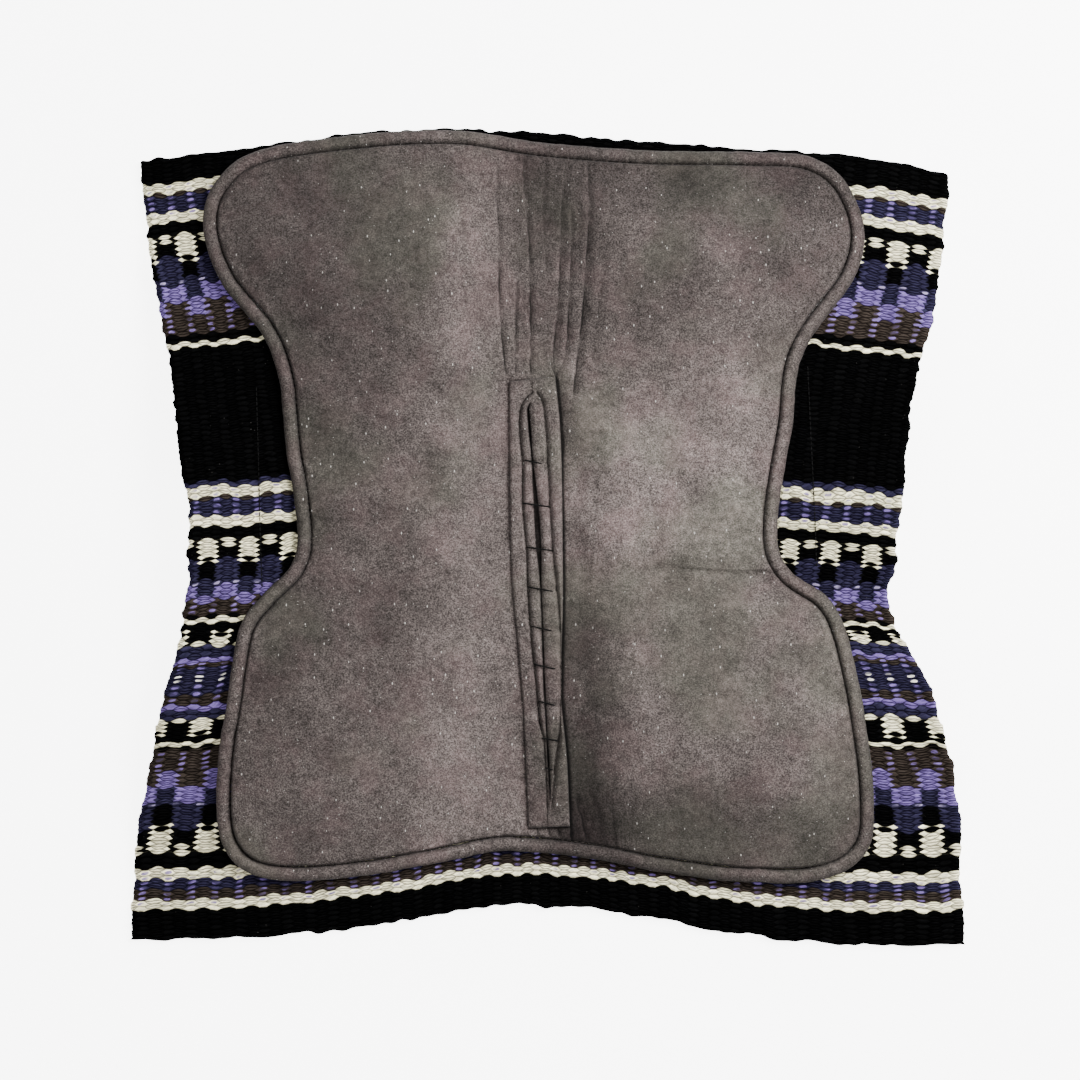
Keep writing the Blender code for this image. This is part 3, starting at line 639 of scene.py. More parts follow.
def woven_blanket():
    lines = weave_lines()
    picks = len(lines) / 2
    column = np.arange(LEFT_SELVAGE_COLUMN, RIGHT_SELVAGE_COLUMN + 0.01, 1 / GRID_PER_COLUMN)[None, :]
    pick = np.arange(0, picks - 0.49, 1 / GRID_PER_PICK)[:, None]
    u = (column - LEFT_SELVAGE_COLUMN) / (RIGHT_SELVAGE_COLUMN - LEFT_SELVAGE_COLUMN)
    t = pick / pick[-1]
    lag_left, lag_right = (
        np.interp(2 * pick, *np.array(lag).T) * 0.001 / (2 * BLANKET_HALF_LENGTH)
        for lag in (LEFT_LAG, RIGHT_LAG)
    )

    def side(share):
        return share * np.maximum(1 - share / 0.4, 0.0) ** 2

    near_left = np.interp(t, (0, 0.5, 1), (-0.33, -0.06, 0.0))
    near_right = np.interp(t, (0, 0.5, 1), (-0.22, -0.06, 0.0))
    s = u + near_left * side(u) - near_right * side(1 - u) + 0.12 * np.sin(math.tau * u) / math.tau

    # A patch between the four edges
    front, rear, left, right = (
        blanket_edge(edge) for edge in (FRONT_EDGE, REAR_EDGE, LEFT_EDGE, RIGHT_EDGE)
    )
    rows, columns = s.shape
    down = t + (1 - s) * lag_left + s * lag_right
    at_left, at_right = (
        at_shares(edge, (t + lag)[:, 0]) for edge, lag in ((left, lag_left), (right, lag_right))
    )
    plan = patch_between(front, rear, at_left, at_right, s[..., None], down[..., None])
    x, y = plan[..., 0], plan[..., 1]

    # Loops of the weft along the selvages, and uneven hems
    from_side = np.minimum(np.arange(columns), np.arange(columns)[::-1])[None, :] * GRID_SPREAD
    from_end = np.minimum(np.arange(rows), np.arange(rows)[::-1])[:, None] * GRID_SPREAD / 2
    outward = np.where(u < 0.5, -1, 1)
    loops = 0.0003 * np.cos(math.tau * pick + 2 * ripples(0 * pick, pick, 9, 3))
    loops = loops + 0.0010 * ripples(0 * pick, pick, 5.5, 4) + 0.0008 * ripples(0 * pick, pick, 2.8, 5)
    x = x + outward * loops * np.exp(-from_side / 0.004)
    ends = np.where(t < 0.5, 1, -1)
    hem = 0.0002 * np.cos(math.pi * column) + 0.0007 * ripples(column, 0 * column, 3.1, 6)
    hem = hem + 0.0005 * ripples(column, 0 * column, 1.4, 12)
    y = y + ends * hem * np.exp(-from_end / 0.004)
    y = y + 0.0010 * ripples(x, y, 0.05, 7) + 0.0005 * ripples(x, y, 0.018, 8)
    x = x + 0.0008 * ripples(x, y, 0.045, 9)

    # Each float is raised like a lens, and some lie looser than others
    over = np.abs(pick - np.round(pick))
    apart = np.abs(column - 2 * np.round(column / 2))
    reach = 0.5 * np.maximum(1 - (apart / LENS_REACH) ** 2, 0.0)
    even = over < reach
    bow = np.where(even, over / np.maximum(reach, 1e-6), (0.5 - over) / np.maximum(0.5 - reach, 1e-6))
    width = np.where(even, reach, 0.5 - reach) * 2
    profile = np.sqrt(np.clip(1 - bow**2, 0, 1)) * width**0.3
    even_number = np.round(pick) * 53 + np.round(column / 2) * 17
    odd_number = np.floor(pick) * 31 + np.floor(column / 2) * 71 + 7
    loose = np.sin(np.where(even, even_number, odd_number) * 12.9898) * 43758.5453
    loose = loose - np.floor(loose)
    profile = np.clip(profile * (0.72 + 0.28 * loose), 0, 1)
    base = np.maximum(relief(x, y) + 0.0004 * ripples(x, y, 0.03, 10), 0.0)
    low = base + FLOAT_HEIGHT * (1 - profile)
    high = base + BLANKET_THICKNESS - FLOAT_HEIGHT * (1 - profile)
    edge = rounded(np.minimum(from_side, from_end), 0.0045)
    high, low = rounded_edge(high, low, base + BLANKET_THICKNESS / 2, edge)
    piece, used = closed_mesh("woven_blanket", x, y, high, low)
    changed = 2.0 * (np.searchsorted(BLOCK_CHANGES, 2 * pick) % 2)
    weave = np.stack(np.broadcast_arrays(column + changed, pick, 0.0 * pick), -1).reshape(-1, 3)
    store(piece.data, "weave", "FLOAT_VECTOR", "vector", np.tile(weave, (2, 1))[used])

    # The wools of the two families of floats on each face
    face_pick = (np.arange(rows - 1) + 0.5)[:, None] / GRID_PER_PICK
    face_column = LEFT_SELVAGE_COLUMN + (np.arange(columns - 1) + 0.5)[None, :] / GRID_PER_COLUMN
    even_line = np.clip(2 * np.round(face_pick), 0, len(lines) - 1).astype(int)
    odd_line = np.clip(2 * np.floor(face_pick) + 1, 0, len(lines) - 1).astype(int)
    changed = 2.0 * (np.searchsorted(BLOCK_CHANGES, 2 * face_pick) % 2)
    wide = np.round((face_column + changed) / 2).astype(int) % 2 == 1
    wools = np.array([[WOOLS[letter] for letter in word[:2]] for word in lines])
    ticks = np.array([(*WOOLS[word[2]], 1.0) if len(word) > 2 else (0.0,) * 4 for word in lines])
    solid = np.ones((rows - 1, columns - 1, 1))
    for name, wool in (
        ("even_wool", np.where(wide[..., None], wools[even_line, 1], wools[even_line, 0])),
        ("outer_wool", wools[odd_line, 0]),
        ("inner_wool", wools[odd_line, 1]),
        ("tick_wool", ticks[odd_line]),
    ):
        wool = np.broadcast_to(wool, (rows - 1, columns - 1, wool.shape[-1]))
        colour = np.concatenate([wool, solid], -1)[..., :4].reshape(-1, 4)
        corners = np.repeat(np.concatenate([colour, colour]), 4, axis=0)
        store(piece.data, name, "FLOAT_COLOR", "color", corners, "CORNER")
    return piece


# Felt


def slit_middle(y):
    """Where the slit, or the line that goes on from it, runs beside the spine line."""
    return across_at(SLIT, y) * within(y, -0.31, 0.04, 0.235, 0.07)


def across_at(places, y):
    """Where a line of the band, given in pixels, is at this place along the spine."""
    line = on_surface(places, band_height)[::-1]
    return np.interp(y, line[:, 1], line[:, 0])


def slit_gap(y):
    """How wide the slit gapes at this place along the spine."""
    rows, gaps = np.array(SLIT_GAPS, float)[::-1].T
    places = on_surface(np.stack([0 * rows + SLIT_COLUMN, rows], -1), band_height)
    return np.interp(y, places[:, 1], gaps * 0.001, left=0.0, right=0.0) * SLIT_OPEN


def core_thickness(from_rim):
    return CORE_RIM + (CORE_THICKNESS - CORE_RIM) * eased(from_rim / SWELL_RUN)


def folds(x, y):
    """How far pleats, wrinkles and creases lift the felt here, and their painted shade: dark in each
    fold's hollow, with a painted highlight on the ridge beside it.
    """
    total, fold_shading = np.zeros(x.shape), np.zeros(x.shape)
    for places, reach, depth, lip in FOLDS:
        line = smooth_line(on_surface(places, felt_height), 0.004)
        reach, depth = reach * 0.001, depth * 0.001
        near = (
            (x > line[:, 0].min() - 3 * reach) & (x < line[:, 0].max() + 3 * reach)
            & (y > line[:, 1].min() - 3 * reach) & (y < line[:, 1].max() + 3 * reach)
        )
        away, side = distance_to(line, x[near], y[near])
        if not lip:
            total[near] -= depth * bump(away, reach)
            fold_shading[near] += 0.15 * bump(away, reach)
            continue
        signed = away * side * lip + 0.0005 * ripples(x[near], y[near], 0.012, 61, 6)
        step = eased((signed + 0.0010) / 0.0020)
        under = -depth * bump(signed, reach) * step
        over = depth * 0.55 * bump(signed, reach * 1.2) * (1 - step)
        total[near] += 0.60 * (under + over)
        length = line[0, 1] - y[near]
        whole = line[0, 1] - line[-1, 1]
        grown = 0.50 + 0.50 * eased(length / whole * 1.3)
        grown = grown * (0.72 + 0.28 * np.sin(length * 90 + reach * 9000))
        strength = grown * np.minimum(depth / 0.0026, 1.2)
        # Painted shade: a dark line in the hollow and a softer shade on its lower side, less a painted
        # highlight on the ridge beside
        dark = 0.80 * bump(signed - 0.0004, 0.0016) + 0.54 * bump(signed, reach) * step
        fold_shading[near] += strength * (dark - 0.25 * bump(signed + 0.0026, 0.0030))
    return total, np.minimum(fold_shading, 0.85)


def painted_felt_light(x, y):
    """Painted light and shade on the felt: each half has a lit side and a dull side, with painted shade
    right of the band, over the pleats and to the rear, and some random unevenness of tone.
    """
    left = (0.57 + 0.33 * eased((x + 0.175) / 0.10)) * (1 - 0.22 * eased((y - 0.31) / 0.07))
    left = left * (1 - 0.20 * bump(x + 0.02, 0.07) * eased((-0.10 - y) / 0.08))
    left = left * (1 + 0.20 * bump(y + 0.25, 0.14))
    left = left * (1 - 0.29 * bump(y - 0.245, 0.17) * eased((-0.06 - x) / 0.05))
    valley = (0.10 + 0.46 * eased((-0.02 - y) / 0.07)) * (1 - eased((x - 0.045) / 0.06))
    right = (1 - valley) * (0.66 + 0.34 * bump(y + 0.10, 0.22) + 0.62 * bump(y - 0.09, 0.17))
    right = right * (1 - 0.34 * eased((y - 0.29) / 0.07))
    right = right * (1 - 0.18 * eased((x - 0.2) / 0.05) * eased(y / 0.05))
    right = right * (1 - 0.28 * eased((-0.22 - y) / 0.06) * (1 - 0.5 * eased((x - 0.15) / 0.1)))
    right = right * (1 - 0.14 * bump(y + 0.045 + 0.15 * (x - 0.15), 0.035) * eased((x - 0.07) / 0.05))
    right = right * (1 - 0.26 * bump(y - 0.20, 0.10) * bump(x - 0.115, 0.07))
    right = right * (1 - 0.18 * bump(y + 0.115, 0.07) * bump(x - 0.17, 0.07))
    side = eased((x + 0.024) / 0.048)
    shade = left * (1 - side) + right * side
    pleated = bump(x, 0.05) * eased((y - 0.12) / 0.06)
    shade = shade * (1 - 0.22 * pleated)
    shade = shade * (1 - 0.25 * bump(x - 0.04, 0.05) * eased((-0.24 - y) / 0.05))
    return shade * (1 + 0.10 * ripples(x, y, 0.09, 51) + 0.07 * ripples(x, y, 0.035, 52))


def paint(piece, used, top, bottom):
    """Store the felt's painted light and shade: the grid top on its upper face, and one even value
    below.
    """
    values = np.concatenate([np.ravel(top), np.full(top.size, bottom)])[used]
    store(piece.data, "shade", "FLOAT", "value", np.clip(values, 0.02, 1.6))


def spine_dip(x, y, middle):
    """How far the felt plunges along the band, most at its right side."""
    right = 0.0030 * bump(x - middle - 0.032, 0.022) * within(y, -0.33, 0.08, 0.17, 0.05)
    left = 0.0005 * bump(x - middle + 0.029, 0.012) * within(y, -0.3, 0.05, 0.19, 0.05)
    return np.where(x > middle, right, left)


def half_patch(side, spine, columns, rows):
    """Plan of one half of the lining: rows to the rear, and columns from the spine to the edge."""

    def nearest(place):
        return int(np.argmin(np.linalg.norm(SEAM_LOOP - place, axis=1)))

    def walk(start, end):
        indices = [start]
        while indices[-1] != end:
            indices.append((indices[-1] + side) % len(SEAM_LOOP))
        return SEAM_LOOP[indices]

    corners = np.array(FELT_CORNERS[side]) * (FELT_HALF_WIDTH, FELT_HALF_LENGTH)
    front, rear = (nearest(corner) for corner in corners + (0, FELT_MIDDLE_Y))
    edge_front = walk(nearest(spine[0]), front)
    edge_side = walk(front, rear)
    edge_rear = walk(rear, nearest(spine[-1]))[::-1]
    edge_front[0], edge_rear[0] = spine[0], spine[-1]
    across, down = columns[None, :, None], rows[:, None, None]
    return patch_between(edge_front, edge_rear, spine, at_shares(edge_side, rows), across, down)


def graded(*zones):
    """Shares from 0 to 1 whose steps follow these zones, each a length and a step."""
    steps = []
    for length, step in zones:
        steps += [step] * max(1, round(length / step))
    places = np.concatenate([[0.0], np.cumsum(steps)])
    return places / places[-1]


LINING_COLUMNS = graded(
    (0.066, 0.0009), (0.02, 0.0019), (0.19, 0.004), (0.012, 0.0022), (0.011, 0.0011)
)
LINING_ROWS = graded(
    (0.010, 0.0011), (0.012, 0.0018), (0.68, 0.0024), (0.012, 0.0018), (0.010, 0.0011)
)


def spine_rows(shares):
    """Places along the spine between the seam's front and rear crossings."""
    front, rear = (SEAM_LOOP[SEAM_LOOP[:, 1] * end > 0] for end in (1, -1))
    front, rear = (part[np.argmin(np.abs(part[:, 0])), 1] for part in (front, rear))
    return front + (rear - front) * shares


def felt_lining():
    y = spine_rows(LINING_ROWS)
    spine = np.stack([slit_middle(y), y], -1)
    left, right = (half_patch(side, spine, LINING_COLUMNS, LINING_ROWS) for side in (-1, 1))
    plan = np.concatenate([left[:, :0:-1], right], axis=1)
    x, y = plan[..., 0], plan[..., 1]
    from_seam = seam_distance(x, y)
    from_rim = np.minimum(from_seam, np.maximum(np.abs(x) - CHANNEL_HALF_WIDTH, 0.0))
    floor = blanket_top(x, y) + 2 * LAYER_GAP + core_thickness(from_rim)
    soft = 0.0005 * ripples(x, y, 0.05, 21) + 0.00025 * ripples(x, y, 0.016, 22)
    soft = soft + 0.0007 * ripples(x, y, 0.13, 23)
    lift, fold_shading = folds(x, y)
    inside = eased(from_seam / 0.006)
    full = 0.0035 * bump(np.abs(x) - 0.10, 0.065) * eased(from_seam / 0.05)
    high = floor + FELT_THICKNESS + lift * inside + soft + full - spine_dip(x, y, slit_middle(y))
    high = high + 0.0006 * ripples(x, y, 0.009, 24) * bump(from_seam - 0.004, 0.012)
    low = np.minimum(floor, high - 0.0025)
    low = np.maximum(low, blanket_top(x, y) + 0.0004)
    high, low = rounded_edge(high, low, floor + 0.0026, rounded(from_seam, 0.0062))
    piece, used = closed_mesh("felt_lining", x, y, high, low)

    # Painted shade and shadow where creases, the seam, the band's edges or the slit keep the light out;
    # the felt under the band is painted nearly black
    along_band = within(y, -0.285, 0.006, 0.168, 0.006)
    left_edge, right_edge = (across_at(places, y) for places in (BAND_LEFT, BAND_RIGHT))
    covered = (x > left_edge) & (x < right_edge)
    beyond = x > right_edge
    shadow = 0.26 * bump(x - left_edge, 0.0018) + beyond * (
        0.92 * bump(x - right_edge, 0.0052)
        + 0.22 * bump(x - right_edge, 0.016) * (1 + eased((y - 0.08) / 0.04))
        + 0.22 * bump(x - right_edge, 0.038) * eased((y - 0.06) / 0.05)
    )
    below_band = within(y, -0.318, 0.02, 0.168, 0.006)
    shadow = np.where(covered, 0.9 * along_band, shadow * below_band)
    shade = painted_felt_light(x, y) * (1 - fold_shading * inside) * (1 - np.minimum(shadow, 0.93))
    seam_shade = 0.55 + 0.20 * eased((y - 0.33) / 0.04) + 0.12 * eased((-0.29 - y) / 0.03)
    shade = shade * (seam_shade + (1 - seam_shade) * eased(from_seam / 0.0030))
    paint(piece, used, shade, HIDDEN_FELT_SHADE)
    return piece


def felt_edge_roll():
    path = evenly(closed_path(inset(FELT_LOOP, ROLL_WIDTH / 2)), ROLL_STEP, closed=True)
    x, y = path[:, 0], path[:, 1]
    along = lengths_along(closed_path(path))[:-1]
    total = along[-1] + ROLL_STEP
    pull = 0.5 + 0.5 * np.cos(math.tau * along * round(total / STITCH_PITCH) / total)
    run = np.roll(path, -2, axis=0) - np.roll(path, 2, axis=0)
    run /= np.linalg.norm(run, axis=1)[:, None]
    inward = np.stack([run[:, 1], -run[:, 0]], -1)
    wobble = 0.0006 * ripples(x, y, 0.045, 31) + 0.0003 * ripples(x, y, 0.015, 32)
    base = blanket_top(x, y) + LAYER_GAP
    # Painted light and shade of the roll: it follows the felt's painted light, is darker at the rear
    # middle, and its inner side's painted shade is fainter at the front
    around = 0.26 + 0.62 * np.clip(painted_felt_light(x, y), 0.3, 1.2)
    around = around * (1 - 0.22 * eased((-0.27 - y) / 0.03) * bump(x - 0.03, 0.24))
    shallow = 0.5 * eased((y - 0.30) / 0.05)
    rings, shades = [], []
    for across, up, light in ROLL_PROFILE:
        light = light + (1 - light) * shallow * (across > 0.5)
        drawn = max(across, 0.0) ** 2 * pull
        out = across * ROLL_WIDTH / 2 * (1 - 0.05 * drawn) + wobble * 0.6
        place = path + inward * out[:, None]
        height = up * (ROLL_HEIGHT + wobble) * (1 - 0.16 * drawn)
        rings.append(np.column_stack([place, base + height]))
        shades.append(light * around)
    index = np.arange(len(path) * len(ROLL_PROFILE)).reshape(len(path), -1)
    after, beside = np.roll(index, -1, axis=0), np.roll(index, -1, axis=1)
    faces = np.stack([index, beside, np.roll(after, -1, axis=1), after], -1).reshape(-1, 4)
    piece = add_mesh("felt_edge_roll", np.stack(rings, 1).reshape(-1, 3), faces)
    store(piece.data, "shade", "FLOAT", "value", np.stack(shades, 1))
    return piece


def lining_level(x, y):
    """Height of the lining's upper face beside the spine, without its folds."""
    return relief(x, y) + BLANKET_THICKNESS + 2 * LAYER_GAP + CORE_RIM + FELT_THICKNESS


BAND_FLANGE = np.array(
    (0.0, 0.012, 0.03, 0.06, 0.1, 0.16, 0.25, 0.36, 0.5, 0.64, 0.76, 0.85, 0.91, 0.95, 0.975, 0.99, 1.0)
)
BAND_LIP = np.array((0.0, 0.02, 0.05, 0.1, 0.18, 0.3, 0.45, 0.6, 0.74, 0.85, 0.93, 0.975, 1.0))


def spine_band():
    """The band with its slit: a flange and a lip on each side, with a sewn groove between them."""
    left, right, sew_left, sew_right = (
        smooth_line(on_surface(places, band_height), LINE_STEP)[::-1]
        for places in (BAND_LEFT, BAND_RIGHT, GROOVE_LEFT, GROOVE_RIGHT)
    )
    front, rear = ((left[end, 1] + right[end, 1]) / 2 for end in (-1, 0))
    y = front + (rear - front) * graded((0.004, 0.0006), (0.43, 0.0013), (0.004, 0.0006))
    apex, tip = sew_left[-1, 1], sew_left[0, 1]
    skew = (right[-1, 1] - left[-1, 1]) / 2
    left, right, sew_left, sew_right = (
        np.interp(y, line[:, 1], line[:, 0]) for line in (left, right, sew_left, sew_right)
    )

    gap = slit_gap(y)
    open_here = eased(gap / 0.0005)
    parted = gap > 0.0002
    parted[0] = parted[-1] = False
    gap = np.where(parted, gap, 0.0)
    middle = slit_middle(y)
    sew_left = np.minimum(sew_left, middle - gap / 2 - LEAST_LIP)
    sew_right = np.maximum(sew_right, middle + gap / 2 + LEAST_LIP)
    sewn = within(y, tip - 0.004, 0.006, apex + 0.0015, 0.003)
    dips = sum(bump(y - on_surface(np.mean(tack, axis=0), band_height)[1], 0.006) for tack in TACKS)
    drawn = 0.0021 + 0.0005 * (0.5 + 0.5 * np.cos(math.tau * y / SLIT_PITCH))

    # Each column also gets painted shade: darker at a flange's outer edge, in the sewn grooves, at the
    # tacks' dimples and nearly black along the open slit's lips
    columns, heights, shades = [], [], []
    for start, end, shares, kind, side in (
        (left, sew_left, BAND_FLANGE, "flange", -1),
        (sew_left, middle - gap / 2, BAND_LIP[1:], "lip", -1),
        (middle + gap / 2, sew_right, 1 - BAND_LIP[::-1], "lip", 1),
        (sew_right, right, BAND_FLANGE[1:], "flange", 1),
    ):
        width = np.abs(end - start)
        for share in shares:
            near_slit, far = (share * width, (1 - share) * width)[::side]
            if kind == "flange":
                thick = 0.0036 if side > 0 else 0.0023
                height = rounded(far, 0.0028) * (thick + 0.0012 * np.sin(share * math.pi))
                height = height - bump(near_slit, 0.0034) * drawn * sewn
                shade = 0.66 + 0.34 * eased(far / 0.0018)
                shade = shade * (1 - 0.52 * bump(near_slit, 0.0020) * sewn)
            else:
                curl = bump(near_slit, 0.0034) * np.where(parted, 0.0022, 0.0)
                puffed = 0.0012 * np.sin(share * math.pi) * sewn * open_here
                height = 0.0036 + puffed - bump(far, 0.0030) * drawn * sewn - curl - 0.0016 * dips
                shade = 1 - 0.52 * bump(far, 0.0020) * sewn
                shade = shade * (1 - 0.20 * np.minimum(dips, 1.0))
                shade = shade * (1 - 0.88 * bump(near_slit, 0.0013) * open_here)
            columns.append(start + (end - start) * share)
            heights.append(height)
            shades.append(shade)
    x, height, shade = (np.stack(grid, 1) for grid in (columns, heights, shades))
    y = np.broadcast_to(y[:, None], x.shape).copy()
    across = (x - x[:, :1]) / (x[:, -1:] - x[:, :1]) * 2 - 1
    y += across * skew * eased((y - (front - 0.03)) / 0.03)
    ends = rounded(np.minimum(np.abs(y - y[:1]), np.abs(y - y[-1:])), 0.003)
    base = lining_level(x, y) + LAYER_GAP
    lift = 0.0012 * eased(across * 2 - 0.9) + 0.0006 * eased(-across * 2 - 0.9)
    lift = lift + 0.0003 * ripples(x, y, 0.03, 41) + 0.00015 * ripples(x, y, 0.009, 42)
    high = base + height * ends + (lift * ends)
    low = np.minimum(base, high - 0.0004)
    high = np.where(rims(x.shape), base + 0.0002, high)
    split = len(BAND_FLANGE) + len(BAND_LIP) - 2
    piece, used = closed_mesh("spine_band", x, y, high, low, split, parted)
    # Painted light and shade on the band: lighter about its middle and darker to the rear, a little
    # lighter to the right, darker at its rounded ends, and unevenly so
    lengthways = 0.80 + 0.22 * bump(y - 0.03, 0.15) - 0.20 * eased((-0.10 - y) / 0.12)
    shade = shade * lengthways * (1 + 0.06 * across) * (0.55 + 0.45 * ends)
    paint(piece, used, shade * (1 + 0.10 * ripples(x, y, 0.02, 53)), HIDDEN_BAND_SHADE)
    return piece


def padding_core(name, side):
    """The soft padding between the lining and the blanket in one half."""
    rows = graded((0.01, 0.002), (0.7, 0.006), (0.01, 0.002))
    columns = graded((0.01, 0.002), (0.27, 0.006), (0.01, 0.002))
    inner = np.stack([np.full(len(rows), side * CHANNEL_HALF_WIDTH), spine_rows(rows)], -1)
    patch = half_patch(side, inner, columns, rows)
    centre = np.array((side * 0.15, FELT_MIDDLE_Y))
    patch = centre + (patch - centre) * (1 - (CORE_INSET - SEAM_INSET) / 0.24)
    patch = patch[:, ::side]
    x, y = side * np.maximum(side * patch[..., 0], CHANNEL_HALF_WIDTH), patch[..., 1]
    from_rim = np.minimum(seam_distance(x, y), np.maximum(np.abs(x) - CHANNEL_HALF_WIDTH, 0.0))
    low = blanket_top(x, y) + LAYER_GAP * 0.6
    high = np.where(rims(x.shape), low + CORE_RIM / 2, low + core_thickness(from_rim))
    return closed_mesh(name, x, y, high, low)[0]


def wear_leather(name, side):
    """A leather panel under the blanket, with rounded corners and a raised rim."""
    rows, columns = 116, 50
    across, down = np.meshgrid(np.linspace(-1, 1, columns), np.linspace(1, -1, rows))
    half = np.array(LEATHER_SIZE) / 2
    x, y = across * half[0], down * half[1]
    square_x, square_y = half - LEATHER_CORNER
    near_x, near_y = np.abs(x) - square_x, np.abs(y) - square_y
    pull = np.maximum(near_x, near_y) / np.maximum(np.hypot(near_x, near_y), 1e-9)
    in_corner = (near_x > 0) & (near_y > 0)
    x = np.where(in_corner, np.sign(x) * (square_x + near_x * pull), x) + side * LEATHER_X
    y = np.where(in_corner, np.sign(y) * (square_y + near_y * pull), y) + LEATHER_Y
    from_edge = np.minimum((1 - np.abs(across)) * half[0], (1 - np.abs(down)) * half[1])
    high = relief(x, y) - LEATHER_GAP
    seam = 0.0006 * bump(from_edge - LEATHER_SEAM_INSET, 0.0016)
    low = high - LEATHER_THICKNESS + seam + 0.0004 * bump(from_edge, 0.002)
    high, low = rounded_edge(high, low, (high + low) / 2, rounded(from_edge, 0.0016))
    return closed_mesh(name, x, y, high, low)[0]


# Stitching


def edge_stitching():
    def level(x, y):
        return blanket_top(x, y) + LAYER_GAP + EDGE_STITCH_RISE

    line = closed_path(inset(FELT_LOOP, SEAM_INSET))
    return joined("lining_stitches", stitches_along(line, level, STITCH_PITCH, 0.70, 0.0011, 0.0012))


def slit_stitching():
    def level(x, y):
        return lining_level(x, y) + LAYER_GAP + SLIT_STITCH_RISE

    parts = []
    for places in (GROOVE_LEFT, GROOVE_RIGHT):
        line = smooth_line(on_surface(places, band_height), LINE_STEP)
        parts += stitches_along(line, level, SLIT_PITCH, 0.72, 0.001, 0.0009)
    return joined("slit_stitches", parts)


def slit_tacks():
    """Threads across the slit, whose ends are drawn down into the felt."""
    share = np.linspace(0, 1, 13)
    radius = 0.0001 + TACK_RADIUS * rounded(np.minimum(share, 1 - share), 0.12)
    parts = []
    for tack in TACKS:
        start, end = on_surface(tack, band_height)
        plan = start + (end - start) * share[:, None]
        height = lining_level(plan[:, 0], plan[:, 1]) + LAYER_GAP + TACK_RISE
        height = height - TACK_SINK * np.abs(2 * share - 1) ** 8
        parts.append(swept(np.column_stack([plan, height]), radius, 8))
    return joined("tacks", parts)


def leather_stitching(name, side):
    """The seam of the wear leather: a line on the blanket's upper face, and a loop on the leather."""

    def above(x, y):
        return blanket_top(x, y) + 0.0001

    def below(x, y):
        return relief(x, y) - LEATHER_GAP - LEATHER_THICKNESS + 0.0001

    x = side * (LEATHER_X + LEATHER_SIZE[0] / 2 - LEATHER_SEAM_INSET)
    line = np.array([(x, end) for end in LEATHER_LINE_ENDS])
    radius = LEATHER_CORNER - LEATHER_SEAM_INSET
    square_x, square_y = np.array(LEATHER_SIZE) / 2 - LEATHER_CORNER
    loop = []
    for sign_x, sign_y, start in ((1, 1, 90), (1, -1, 0), (-1, -1, -90), (-1, 1, 180)):
        for step in range(7):
            angle = math.radians(start - 15 * step)
            loop.append((
                side * LEATHER_X + sign_x * square_x + radius * math.cos(angle),
                LEATHER_Y + sign_y * square_y + radius * math.sin(angle),
            ))
    loop = closed_path(np.array(loop))
    return joined(name, (
        stitches_along(line, above, LEATHER_PITCH, 0.8, 0.0011, 0.0009)
        + stitches_along(loop, below, LEATHER_PITCH, 0.7, 0.0009, -0.0004)
    ))


# Materials


class Shader:
    """A material's node tree, with short ways to add its nodes."""

    def __init__(self, name):
        self.material = bpy.data.materials.new(name)
        self.material.use_nodes = True
        self.tree = self.material.node_tree
        self.surface = self.tree.nodes["Principled BSDF"]

    def put(self, value, socket):
        if isinstance(value, bpy.types.NodeSocket):
            self.tree.links.new(value, socket)
        elif value is not None:
            socket.default_value = value

    def add(self, kind, inputs, output=0, **settings):
        """An output of a new node, with these values or sockets put into its inputs."""
        node = self.tree.nodes.new("ShaderNode" + kind)
        for name, setting in settings.items():
            setattr(node, name, setting)
        for socket, value in inputs.items():
            self.put(value, node.inputs[socket])
        return node.outputs[output]

    def attribute(self, name, output="Vector"):
        return self.add("Attribute", {}, output, attribute_name=name)

    def math(self, operation, *values, clamp=False):
        return self.add("Math", dict(enumerate(values)), operation=operation, use_clamp=clamp)

    def plus(self, first, second):
        return self.math("ADD", first, second)

    def minus(self, first, second):
        return self.math("SUBTRACT", first, second)

    def times(self, product, *factors):
        for factor in factors:
            product = self.math("MULTIPLY", product, factor)
        return product

    def noise(self, vector, scale, detail=2.0, roughness=0.5):
        values = {"Vector": vector, "Scale": scale, "Detail": detail, "Roughness": roughness}
        return self.add("TexNoise", values, "Fac")

    def cells(self, vector, scale, feature="F1"):
        return self.add("TexVoronoi", {"Vector": vector, "Scale": scale}, "Distance", feature=feature)

    def span(self, value, low, high, to_low=0.0, to_high=1.0, smooth=True):
        kind = "SMOOTHSTEP" if smooth else "LINEAR"
        values = dict(enumerate((value, low, high, to_low, to_high)))
        return self.add("MapRange", values, interpolation_type=kind)

    def mix(self, share, first, second, mode="MIX"):
        first, second = ((*it, 1.0) if isinstance(it, tuple) else it for it in (first, second))
        values = {0: share, 6: first, 7: second}
        return self.add("Mix", values, 2, data_type="RGBA", blend_type=mode)

    def shaded(self, colour, shade):
        grey = self.add("CombineColor", dict.fromkeys(range(3), shade))
        return self.mix(1.0, colour, grey, "MULTIPLY")

    def stretched(self, vector, scale, turn=0.0):
        return self.add("Mapping", {"Vector": vector, "Scale": scale, "Rotation": (0.0, 0.0, turn)})

    def relief(self, height, strength, distance, normal=None):
        values = {"Strength": strength, "Distance": distance, "Height": height, "Normal": normal}
        return self.add("Bump", values)

    def scattered(self, vector, scale, near, far, most, patches, low, high):
        """Small spots around the cells' middles, only where patches of noise are above low."""
        spots = self.span(self.cells(vector, scale), near, far, most, 0.0)
        return self.times(spots, self.span(self.noise(self.attribute("place"), patches, 1), low, high))

    def finish(self, colour, normal, roughness, sheen=0.0, sheen_tint=(1.0, 1.0, 1.0), specular=0.3):
        values = {
            "Base Color": colour, "Normal": normal, "Roughness": roughness, "Sheen Weight": sheen,
            "Sheen Roughness": 0.6, "Sheen Tint": (*sheen_tint, 1.0), "Specular IOR Level": specular,
        }
        for name, value in values.items():
            self.put(value, self.surface.inputs[name])
        return self.material


